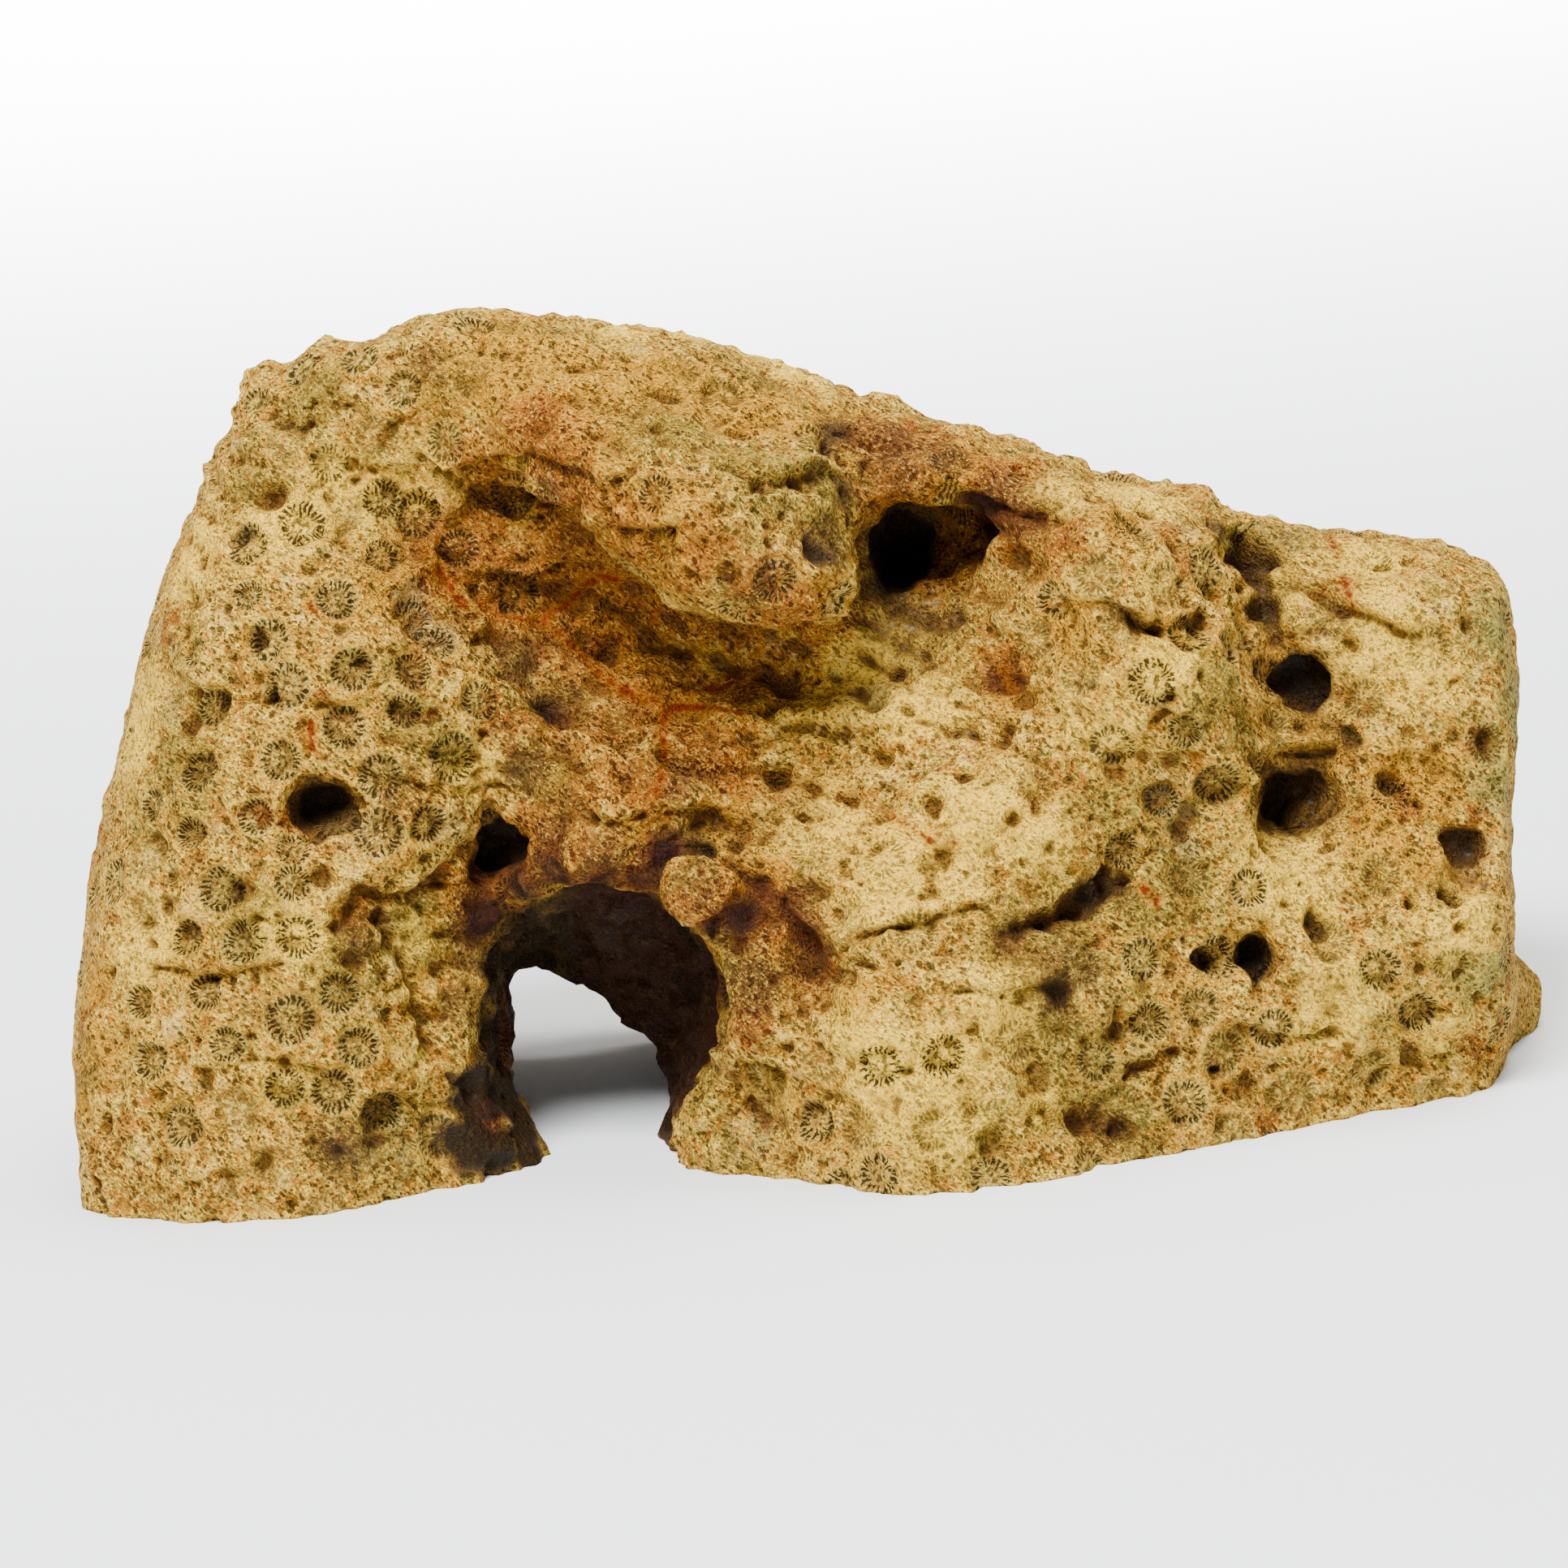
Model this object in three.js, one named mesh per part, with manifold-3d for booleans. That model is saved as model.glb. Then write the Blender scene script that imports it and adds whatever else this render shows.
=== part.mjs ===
// A massive chunk of fossil coral with a weathered front, an arch worn through its foot
// and a flat sawn base. Units are millimetres. +Z is up and the weathered front faces -Y.

import * as THREE from "three";
import { mergeVertices } from "three/addons/utils/BufferGeometryUtils.js";
import { ImprovedNoise } from "three/addons/math/ImprovedNoise.js";
import Module from "manifold-3d";

const wasm = await Module();
wasm.setup();

// ---- Driving sizes ---------------------------------------------------------------------
// The front is laid out on a face that leans back. A place on it is (x, u, d): x along the
// face, u up the face and d out of the face towards the front.

const faceLean = 13;
const faceMiddle = new THREE.Vector3(0, -15.4, 27.9);
const lowerReach = -37;
const backDepthLow = -49;
const backDepthHigh = -31;
const backShrink = 0.9;

const columnsAcross = 84;
const rowsUp = 50;
const layersDeep = 16;
const wantedFineness = 0.37;

const roughHeight = 0.9;
const roughLength = 7;
const fineLength = 4;

const leftRounding = 17;
const rightRounding = 4;
const topRounding = 7;

// The outline of the front, as x, u, d along each edge.
const leftEdgePoints = [
  [-54.6, lowerReach, -7],
  [-54.6, -22.5, -8],
  [-54.5, -14, -11],
  [-53.1, -6, -12],
  [-51.2, 2, -13],
  [-48.6, 10.5, -14],
  [-46.4, 17, -14],
  [-43.4, 22.3, -14],
  [-40.6, 28, -14],
  [-38.9, 31.8, -14],
  [-37.9, 34.6, -13],
];

const topEdgePoints = [
  [-37.9, 34.6, -13],
  [-32.9, 35.1, -13],
  [-31, 35.9, -12],
  [-26.8, 35.8, -11],
  [-25.6, 36.6, -9],
  [-20.5, 36.8, -9],
  [-15, 36.4, -10],
  [-9, 35.3, -11],
  [-3.5, 33.4, -11],
  [2.5, 31, -12],
  [8, 28.6, -13],
  [13.5, 26.4, -14],
  [19, 24.3, -14],
  [22.6, 22.9, -14],
  [24, 21.3, -14],
  [28.2, 20.4, -13],
  [33, 19.2, -13],
  [34.8, 17.2, -15],
  [40.3, 16.2, -16],
  [46.4, 15, -17],
  [51.3, 13.6, -18],
  [55.6, 11.6, -19],
];

const rightEdgePoints = [
  [51.4, lowerReach, -10],
  [51.3, -26.3, -13],
  [52.9, -23.5, -14],
  [53.4, -18.2, -15],
  [53.9, -12.9, -16],
  [54.4, -7, -18],
  [55.4, -2.4, -18],
  [56, 3, -19],
  [56, 8, -20],
  [55.6, 11.6, -19],
];

// The top edge of the back, smoother than the front's.
const backTopPoints = [
  [-37.9, 32.6, -13],
  [-24, 36, -11],
  [-8, 34, -11],
  [8, 28.2, -13],
  [24, 22.4, -14],
  [38, 17, -16],
  [55.6, 11.6, -19],
];

// How far the sawn foot stands out along its front edge, as x and d.
const footLine = [
  [-56, -7],
  [-52, -4.5],
  [-46, -1.4],
  [-38, -0.6],
  [-31.5, -3.4],
  [-26, -5.6],
  [-22, -8.2],
  [-19, -9],
  [-11.4, -6.6],
  [-9, -3.9],
  [-3.4, -1.6],
  [1.8, 2.7],
  [6, 6],
  [11, 6.9],
  [17, 5.3],
  [23, 2.4],
  [29, 0.8],
  [38, -2.9],
  [47.5, -5.5],
  [56, -9],
];

// The right block lies back from the ridge, and the step dies away towards the foot.
const blockStep = { from: 32.5, to: 36.5, back: -5.4, low: -13, high: -1 };

// Lumps and hollows of the front: at is x and u of the middle, size is the reach along the
// form and across it, turn is the form's tilt in degrees and rise is its height.
const frontForms = [
  // The left lobe's broad swell, and the worn slope between it and the arch.
  { at: [-38, -4], size: [13, 24], turn: 0, rise: 1.6 },
  { at: [-23.6, -11], size: [4.6, 8], turn: 4, rise: -6 },
  { at: [-25.5, -20], size: [4.5, 5], turn: 0, rise: -2.4 },
  { at: [-21, -2.6], size: [4.6, 3], turn: 24, rise: -3.4 },
  // The valley that runs down to the right below the nose.
  { at: [-14, 14], size: [19, 6.5], turn: -32, rise: -7.5 },
  { at: [-2, 8.6], size: [10, 4.6], turn: -14, rise: -4.4 },
  { at: [-27, 25], size: [8, 7], turn: -45, rise: -3.2 },
  // Shelves across the valley's left end.
  { at: [-23.5, 19.3], size: [5.5, 1.5], turn: 14, rise: 2.4 },
  { at: [-18.5, 25.4], size: [4.8, 1.4], turn: 8, rise: 2 },
  { at: [-28, 13.6], size: [5, 1.4], turn: 24, rise: 1.6 },
  // The bridge over the arch, and the ledges that step across it.
  { at: [-10, 0.5], size: [7, 4.5], turn: -12, rise: 1.6 },
  { at: [1, 5], size: [8, 2], turn: -8, rise: 1.8 },
  { at: [-2.5, 2.2], size: [5.5, 1.1], turn: -4, rise: -2 },
  { at: [5, -1.2], size: [5, 1.1], turn: -16, rise: -1.9 },
  { at: [-7.5, -3.8], size: [4.2, 1.2], turn: 18, rise: -2.6 },
  // The big right shoulder, its pale lump and its slanting groove.
  { at: [11, -16], size: [17, 15], turn: 0, rise: 6.4 },
  { at: [4.6, -19], size: [3.6, 4.6], turn: 0, rise: 2 },
  { at: [14, -1.6], size: [7, 3], turn: -10, rise: 1.6 },
  { at: [19.8, -9.8], size: [6, 1.6], turn: 27, rise: -3 },
  { at: [0.4, -13], size: [3, 7], turn: 10, rise: -2.2 },
  { at: [14.5, -22.5], size: [4, 2.2], turn: 20, rise: -1.6 },
  // The recess below the deep hole, and the ridge to its right.
  { at: [10, 11.5], size: [7.5, 6], turn: 0, rise: -4.6 },
  { at: [12.8, 16.4], size: [5.6, 3.6], turn: 10, rise: -5 },
  { at: [25.5, 11], size: [12, 5.2], turn: -60, rise: 5 },
  { at: [28.6, 2.5], size: [6, 5], turn: 0, rise: 2.4 },
  // The groove between the ridge and the right block, and the block's own swells.
  { at: [34.9, 12.5], size: [1.7, 7], turn: 6, rise: -5 },
  { at: [41.3, 13], size: [4, 3], turn: 0, rise: -1.6 },
  { at: [49, 6], size: [5.5, 9], turn: 0, rise: 1.8 },
  { at: [43.3, -3.5], size: [2, 6.5], turn: 4, rise: 2 },
  { at: [40, -11.5], size: [6, 3.4], turn: 10, rise: -1.8 },
  { at: [35, -20.5], size: [7, 3.5], turn: 8, rise: 1.4 },
];

// Broad lumps and hollows of the back, risen backwards.
const backForms = [
  { at: [-30, 4], size: [13, 15], turn: 10, rise: 2.6 },
  { at: [-8, 8], size: [5, 16], turn: -18, rise: -3.2 },
  { at: [12, 0], size: [14, 11], turn: -15, rise: 2.4 },
  { at: [30, -8], size: [4.5, 14], turn: 16, rise: -2.8 },
  { at: [42, -2], size: [9, 10], turn: 0, rise: 1.8 },
  { at: [14, -15], size: [12, 3], turn: 8, rise: -2.2 },
  { at: [-36, -14], size: [10, 4], turn: -14, rise: -2 },
];

// The nose that hangs over the valley: its outline as x, u, d from the crest's left end
// round by the valley, the place of its tip, and how deep it is rooted.
const nosePoints = [
  [-24.4, 35.4, -10],
  [-22.9, 30.4, -6],
  [-19.5, 26.1, -4],
  [-15, 22.6, -2],
  [-11.6, 18.6, 0],
  [-9, 15.7, 2],
  [-6, 13.2, 3],
  [-2.8, 11.8, 4],
  [-0.5, 11.1, 5],
  [1.9, 11.7, 4.4],
  [3.2, 11.5, 3],
  [4.6, 10.9, 2.6],
  [6.2, 12.4, 1.4],
  [7.3, 14.4, 0],
  [6.6, 17, -1],
  [7, 20, -2],
  [8.6, 23, -5],
  [10.4, 25.8, -10],
  [7, 28, -12],
  [0.6, 31, -11],
  [-4.1, 32.8, -11],
  [-9.4, 34.5, -11],
  [-15.3, 35.6, -10],
  [-20.4, 36, -10],
];
const noseTip = [-3.4, 19, 10.5];
const noseRoot = -15;

// Smaller lumps: the nub that hangs over the arch, and the lip over the deep hole.
const archNub = { at: [-6.2, -7, 0.2], half: [3.6, 2.1, 4.2], turn: -4 };
const lumps = [
  { at: [13.4, 21.4, -2.6], half: [5, 2, 3.4], turn: -10 },
  { at: [17.8, 19.6, -3], half: [3.4, 1.8, 3], turn: -30 },
];

// Ridges that stand out sideways, behind the front's edges: side is -1 on the left, at is u
// and d of the middle, size is the reach up and back, and rise is how far they stand out.
const sideRidges = [
  { side: -1, at: [27, -27], size: [6.5, 7], rise: 5.6 },
  { side: -1, at: [-8, -30], size: [8, 8], rise: 1.6 },
  { side: 1, at: [-20.6, -23], size: [4, 6], rise: 4.6 },
  { side: 1, at: [2, -28], size: [8, 8], rise: 1.4 },
];

// Pits worn into the front: middle on the face, half sizes, tilt and how deep they go.
const pits = [
  { at: [10.4, 16.6], half: [3.2, 3.9], turn: -30, depth: 10 },
  { at: [13.6, 17], half: [4.6, 2.6], turn: 24, depth: 5 },
  { at: [-33.3, 1.2], half: [3.3, 2.7], turn: -12, depth: 6 },
  { at: [-37.2, 21.6], half: [1.5, 1.4], turn: 0, depth: 2.6 },
  { at: [-16.2, 6.5], half: [1.2, 1.8], turn: -10, depth: 2.2 },
  { at: [12.4, 1.8], half: [2.1, 1.1], turn: 12, depth: 2.4 },
  { at: [38.6, 3.8], half: [1.7, 2.4], turn: -14, depth: 3 },
  { at: [37, -4.7], half: [3.2, 3], turn: -30, depth: 6 },
  { at: [49.8, -9.8], half: [2, 3.6], turn: -30, depth: 3.6 },
  { at: [32.9, -15.9], half: [2, 2.8], turn: 12, depth: 4.6 },
  { at: [-34.8, -19], half: [1.3, 1.2], turn: 0, depth: 1.8 },
  { at: [29.7, -15.3], half: [1.2, 1.1], turn: 0, depth: 1.8 },
  { at: [44.2, -2.8], half: [1.2, 1.6], turn: 10, depth: 1.6 },
  { at: [-18.3, 22.9], half: [4.2, 1.7], turn: 6, depth: 3.2 },
  { at: [-20.8, -2.8], half: [2.6, 2.2], turn: 30, depth: 4 },
];

// The arch that runs through the foot, as closed outlines in x and u at depths d. Each
// starts at the left of the roof and goes round by the right.
const archOutlines = [
  {
    depth: 9,
    points: [
      [-20.4, -4.2], [-16.1, -3.2], [-11.2, -3.4], [-7.4, -6.2], [-4.6, -9.6], [-3.4, -14.5], [-4.4, -19.4],
      [-6.6, -23], [-7.6, -27], [-8, -37], [-31, -37], [-30.5, -24.6], [-28.6, -17.5], [-25, -8.6],
    ],
  },
  {
    depth: -4,
    points: [
      [-20, -6.7], [-16.1, -6], [-11.6, -6.3], [-8.6, -8.7], [-6.8, -11.3], [-6, -14.9], [-7.1, -19.3],
      [-9.1, -21.8], [-10.1, -26.2], [-10.4, -37], [-27.1, -37],
      [-26.6, -23.6], [-25.7, -17.7], [-23.4, -10.4],
    ],
  },
  {
    depth: -10,
    points: [
      [-20.4, -8.1], [-16.4, -7], [-11.6, -7.4], [-7.8, -9.2], [-6.2, -11.5], [-5.6, -15.2], [-6.6, -19.6],
      [-9.5, -22.1], [-11.5, -25.2], [-12.2, -37], [-19.6, -37], [-19.4, -26.2], [-22, -22.1], [-22.9, -12.1],
    ],
  },
  {
    depth: -20,
    points: [
      [-22.9, -11.9], [-20.3, -12.3], [-16.5, -14.1], [-14.2, -16.9],
      [-11.9, -19.1], [-11, -20.6], [-11.1, -22.5],
      [-11.7, -25.2], [-12.1, -27.6], [-12.6, -37], [-20, -37], [-19.9, -27], [-22.6, -20.9], [-21.5, -16.3],
    ],
  },
  {
    depth: -32,
    points: [
      [-24.2, -10.8], [-20.4, -10.5], [-16, -11.6], [-12.4, -13.8],
      [-9.5, -17.2], [-8.5, -20.5], [-8.5, -23.7],
      [-9.1, -26.8], [-9.9, -28.6], [-10.6, -37], [-23.8, -37],
      [-25.6, -27.2], [-25.7, -20.9], [-25.3, -15.8],
    ],
  },
  {
    depth: -60,
    points: [
      [-27, -6], [-21.2, -4.2], [-15.5, -4.8], [-11.6, -7], [-8.5, -11], [-6.8, -15.1], [-6.4, -18.5],
      [-6.7, -21.9], [-7.3, -28.6], [-7.6, -37], [-29, -37], [-30.4, -26.8], [-30.5, -20], [-29.5, -11],
    ],
  },
];

// ---- Helpers ---------------------------------------------------------------------------

const noise = new ImprovedNoise();
const lean = THREE.MathUtils.degToRad(faceLean);
const { lerp, mapLinear, smoothstep } = THREE.MathUtils;

// Turns a place on the leaning face into the part's own frame.
function place(x, u, d) {
  return new THREE.Vector3(
    x,
    faceMiddle.y + u * Math.sin(lean) - d * Math.cos(lean),
    faceMiddle.z + u * Math.cos(lean) + d * Math.sin(lean),
  );
}

function curveThrough(points, closed = false) {
  const places = points.map((point) => new THREE.Vector3(...point));
  return new THREE.CatmullRomCurve3(places, closed, "centripetal");
}

// Reads a line given as [x, value] pairs, straight from each pair to the next.
function valueAlong(pairs, x) {
  const last = pairs[pairs.length - 1];
  if (x <= pairs[0][0]) {
    return pairs[0][1];
  }
  if (x >= last[0]) {
    return last[1];
  }
  const next = pairs.findIndex((pair) => pair[0] > x);
  const [x0, value0] = pairs[next - 1];
  const [x1, value1] = pairs[next];
  return mapLinear(x, x0, x1, value0, value1);
}

// Uneven rock: two sizes of soft noise.
function roughness(x, u, d) {
  const broad = noise.noise(x / roughLength + 4.3, u / roughLength + 1.7, d / roughLength + 8.1);
  const fine = noise.noise(x / fineLength + 9.2, u / fineLength + 5.5, d / fineLength + 2.4);
  return broad + 0.35 * fine;
}

// A quarter-round that climbs from 0 at an edge to 1 at the given width from it.
function quarterRound(distance, width) {
  const inward = Math.min(1, Math.max(0, distance / width));
  return Math.sqrt(1 - (1 - inward) ** 2);
}

function formHeight(form, x, u) {
  const turn = THREE.MathUtils.degToRad(form.turn);
  const dx = x - form.at[0];
  const du = u - form.at[1];
  const alongForm = (dx * Math.cos(turn) + du * Math.sin(turn)) / form.size[0];
  const acrossForm = (-dx * Math.sin(turn) + du * Math.cos(turn)) / form.size[1];
  return form.rise * Math.exp(-(alongForm ** 2) - acrossForm ** 2);
}

function ridgeHeight(ridge, u, d) {
  const up = (u - ridge.at[0]) / ridge.size[0];
  const back = (d - ridge.at[1]) / ridge.size[1];
  return ridge.rise * Math.exp(-(up ** 2) - back ** 2);
}

// The depth of the front, away from its rounded edges.
function faceDepth(x, u) {
  const upperShare = smoothstep(u, blockStep.low, blockStep.high);
  const block = smoothstep(x, blockStep.from, blockStep.to) * blockStep.back;
  const forms = frontForms.reduce((sum, form) => sum + formHeight(form, x, u), block * upperShare);
  const footShare = 1 - smoothstep(u, -28.5, -14);
  return lerp(forms, valueAlong(footLine, x), footShare);
}

const leftEdge = curveThrough(leftEdgePoints);
const rightEdge = curveThrough(rightEdgePoints);
const topEdge = curveThrough(topEdgePoints);
const backTopEdge = curveThrough(backTopPoints);
const bottomEdge = new THREE.LineCurve3(leftEdge.getPoint(0), rightEdge.getPoint(0));

// A place on the sheet spanned by the four edges: s runs to the right and t runs up.
function edgeSheet(upperEdge, s, t) {
  const left = leftEdge.getPointAt(t);
  const right = rightEdge.getPointAt(t);
  const top = upperEdge.getPointAt(s);
  const bottom = bottomEdge.getPointAt(s);
  const across = left.multiplyScalar(1 - s).addScaledVector(right, s);
  const upward = bottom.multiplyScalar(1 - t).addScaledVector(top, t);
  const corners = leftEdge.getPoint(0).multiplyScalar((1 - s) * (1 - t));
  corners.addScaledVector(rightEdge.getPoint(0), s * (1 - t));
  corners.addScaledVector(upperEdge.getPoint(0), (1 - s) * t);
  corners.addScaledVector(upperEdge.getPoint(1), s * t);
  return across.add(upward).sub(corners);
}

// The front sheet, rounded off along its left, right and top edges.
function frontPlace(s, t) {
  const rim = edgeSheet(topEdge, s, t);
  const leftShare = quarterRound(s * 108, leftRounding);
  const rightShare = quarterRound((1 - s) * 108, rightRounding);
  const topShare = quarterRound((1 - t) * 60, topRounding);
  const share = leftShare * rightShare * topShare;
  const depth = lerp(rim.z, faceDepth(rim.x, rim.y), share);
  return new THREE.Vector3(rim.x, rim.y, depth);
}

// The back sheet, smaller and domed.
function backPlace(s, t) {
  const rim = edgeSheet(backTopEdge, s, t);
  const middle = new THREE.Vector2(0, -2);
  const x = middle.x + (rim.x - middle.x) * backShrink;
  const u = middle.y + (rim.y - middle.y) * backShrink;
  const sideShare = quarterRound(Math.min(s, 1 - s) * 108, 26);
  const topShare = quarterRound((1 - t) * 60, 16);
  const wall = mapLinear(u, -26, 32, backDepthLow, backDepthHigh);
  const lumpy = backForms.reduce((sum, form) => sum + formHeight(form, x, u), 0);
  const depth = wall + 10 * (1 - sideShare) + 5 * (1 - topShare) - lumpy;
  return new THREE.Vector3(x, u, depth);
}

// Turns a three.js geometry into a solid, with its points moved by the given rule.
function solidFrom(geometry, move) {
  const bare = geometry.clone();
  bare.deleteAttribute("normal");
  bare.deleteAttribute("uv");
  const merged = mergeVertices(bare, 1e-4);
  const position = merged.getAttribute("position");
  const point = new THREE.Vector3();
  for (let index = 0; index < position.count; index += 1) {
    point.fromBufferAttribute(position, index);
    const moved = move(point);
    position.setXYZ(index, moved.x, moved.y, moved.z);
  }
  const mesh = new wasm.Mesh({
    numProp: 3,
    vertProperties: Float32Array.from(position.array),
    triVerts: Uint32Array.from(merged.getIndex().array),
  });
  return new wasm.Manifold(mesh);
}

// ---- The coral -------------------------------------------------------------------------

function makeBody() {
  const block = new THREE.BoxGeometry(2, 2, 2, columnsAcross, rowsUp, layersDeep);
  return solidFrom(block, (point) => {
    const s = (point.x + 1) / 2;
    const t = (point.y + 1) / 2;
    const backShare = (1 - point.z) / 2;
    const front = frontPlace(s, t);
    const back = backPlace(s, t);
    const spot = front.lerp(back, backShare);
    const outward = new THREE.Vector2(spot.x, spot.y + 2).normalize();
    const swell = 1.6 * Math.sin(Math.PI * backShare);
    const rough = roughHeight * roughness(spot.x, spot.y, spot.z);
    const sideShare = Math.min(1, 3 * Math.min(backShare, 1 - backShare));
    const ridges = sideRidges.filter((ridge) => ridge.side === Math.sign(spot.x));
    const stretch = ridges.reduce((sum, ridge) => sum + ridgeHeight(ridge, spot.y, spot.z), 0);
    const edgeShare = smoothstep(Math.abs(point.x), 0.7, 1);
    spot.x += outward.x * (swell + 1.6 * rough * sideShare);
    spot.x += Math.sign(spot.x) * stretch * edgeShare * sideShare;
    spot.y += outward.y * (swell + 1.6 * rough * sideShare);
    spot.z += rough * (backShare > 0.5 ? -1.4 : 1);
    return place(spot.x, spot.y, spot.z);
  });
}

// The nose: a ball drawn out to its outline, full at the front and rooted in the body.
function makeNose() {
  const ball = new THREE.SphereGeometry(1, 48, 22);
  ball.rotateX(Math.PI / 2);
  const outline = curveThrough(nosePoints, true);
  const start = Math.atan2(nosePoints[0][1] - noseTip[1], nosePoints[0][0] - noseTip[0]);
  return solidFrom(ball, (point) => {
    const reach = Math.min(1, Math.hypot(point.x, point.y));
    const turn = reach < 1e-6 ? 0 : Math.atan2(point.y, point.x) - start;
    const rim = outline.getPointAt((turn / (2 * Math.PI) + 2) % 1);
    const rough = 0.7 * roughness(rim.x * reach, rim.y * reach, point.z * 8);
    const x = lerp(noseTip[0], rim.x, reach);
    const u = lerp(noseTip[1], rim.y, reach);
    const overhang = smoothstep(rim.z, -7, 1);
    const full = lerp(1 - reach ** 1.9, Math.sqrt(1 - reach ** 2), overhang);
    const end = point.z > 0 ? noseTip[2] : noseRoot;
    return place(x, u, lerp(rim.z, end, full) + rough);
  });
}

// An uneven rounded lump, held below the crest.
function makeLump(lump, segments = 18) {
  const ball = new THREE.SphereGeometry(1, segments, Math.round(segments * 0.6));
  const turn = THREE.MathUtils.degToRad(lump.turn);
  return solidFrom(ball, (point) => {
    const bumpy = 1 + 0.07 * roughness(point.x * 6 + lump.at[0], point.y * 6, point.z * 6);
    const alongLump = point.x * lump.half[0] * bumpy;
    const acrossLump = point.y * lump.half[1] * bumpy;
    const x = lump.at[0] + alongLump * Math.cos(turn) - acrossLump * Math.sin(turn);
    const u = lump.at[1] + alongLump * Math.sin(turn) + acrossLump * Math.cos(turn);
    const d = lump.at[2] + point.z * lump.half[2] * bumpy;
    const crest = valueAlong(topEdgePoints, x) - 0.6 - 0.05 * Math.max(0, d + 10);
    return place(x, Math.min(u, crest), d);
  });
}

function makePit(pit) {
  const [x, u] = pit.at;
  const surface = faceDepth(x, u);
  const size = Math.max(...pit.half);
  const segments = size > 2.5 ? 14 : 10;
  const ball = new THREE.SphereGeometry(1, segments, Math.round(segments * 0.7));
  const turn = THREE.MathUtils.degToRad(pit.turn);
  return solidFrom(ball, (point) => {
    const uneven = 1 + 0.12 * roughness(point.x * 5 + x, point.y * 5 + u, point.z * 5);
    const alongPit = point.x * pit.half[0] * uneven;
    const acrossPit = point.y * pit.half[1] * uneven;
    return place(
      x + alongPit * Math.cos(turn) - acrossPit * Math.sin(turn),
      u + alongPit * Math.sin(turn) + acrossPit * Math.cos(turn),
      surface + point.z * pit.depth,
    );
  });
}

function makeArch() {
  const around = 36;
  const tube = new THREE.CylinderGeometry(1, 1, 2, around, 14);
  const curves = archOutlines.map(({ depth, points }) => ({
    depth,
    curve: curveThrough(points.map(([x, u]) => [x, u, depth]), true),
  }));
  const first = curves[0].depth;
  const last = curves[curves.length - 1].depth;
  return solidFrom(tube, (point) => {
    const depth = mapLinear(point.y, -1, 1, last, first);
    const next = Math.max(1, curves.findIndex((entry) => entry.depth <= depth + 1e-6));
    const front = curves[next - 1];
    const back = curves[next];
    const share = (depth - front.depth) / (back.depth - front.depth);
    const ring = Math.hypot(point.x, point.z);
    if (ring < 0.5) {
      return place(-16, -22, depth);
    }
    const turn = (1 - Math.atan2(point.x, point.z) / (2 * Math.PI)) % 1;
    const spot = front.curve.getPoint(turn).lerp(back.curve.getPoint(turn), share);
    const rough = 0.9 * roughness(spot.x, spot.y, depth);
    return place(spot.x + rough, spot.y - 0.6 * rough, depth);
  });
}

function makeCoral() {
  let coral = makeBody().add(makeNose());
  for (const lump of lumps) {
    coral = coral.add(makeLump(lump));
  }
  for (const pit of pits) {
    coral = coral.subtract(makePit(pit));
  }
  coral = coral.subtract(makeArch()).add(makeLump(archNub, 14));
  const belowBase = new THREE.BoxGeometry(200, 200, 60);
  belowBase.translate(0, 0, -30);
  coral = coral.subtract(solidFrom(belowBase, (point) => point));
  return coral.simplify(wantedFineness);
}

function geometryFrom(solid) {
  const mesh = solid.getMesh();
  const geometry = new THREE.BufferGeometry();
  geometry.setAttribute("position", new THREE.BufferAttribute(Float32Array.from(mesh.vertProperties), 3));
  geometry.setIndex(new THREE.BufferAttribute(Uint32Array.from(mesh.triVerts), 1));
  return geometry;
}

const coralStone = new THREE.MeshStandardMaterial({
  name: "coral_stone",
  color: 0xb98f4c,
  roughness: 0.72,
  metalness: 0,
});

const coralGeometry = geometryFrom(makeCoral());

// The middle of the part's box stands over the origin, with the base at z = 0.
coralGeometry.computeBoundingBox();
const middle = coralGeometry.boundingBox.getCenter(new THREE.Vector3());
coralGeometry.translate(-middle.x, -middle.y, -coralGeometry.boundingBox.min.z);
coralGeometry.computeVertexNormals();

const coral = new THREE.Mesh(coralGeometry, coralStone);
coral.name = "fossil_coral";

const part = new THREE.Group();
part.name = "fossil_coral_part";
part.add(coral);

export default part;
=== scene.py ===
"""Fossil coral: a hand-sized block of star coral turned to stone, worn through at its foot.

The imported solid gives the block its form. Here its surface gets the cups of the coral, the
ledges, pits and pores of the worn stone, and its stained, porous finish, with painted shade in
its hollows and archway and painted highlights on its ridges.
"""

import math
import random

import bmesh
import bpy
import numpy as np
from bpy.props import FloatProperty, FloatVectorProperty, IntProperty, PointerProperty
from mathutils import Matrix, Vector, kdtree, noise
from mathutils.bvhtree import BVHTree


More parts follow.
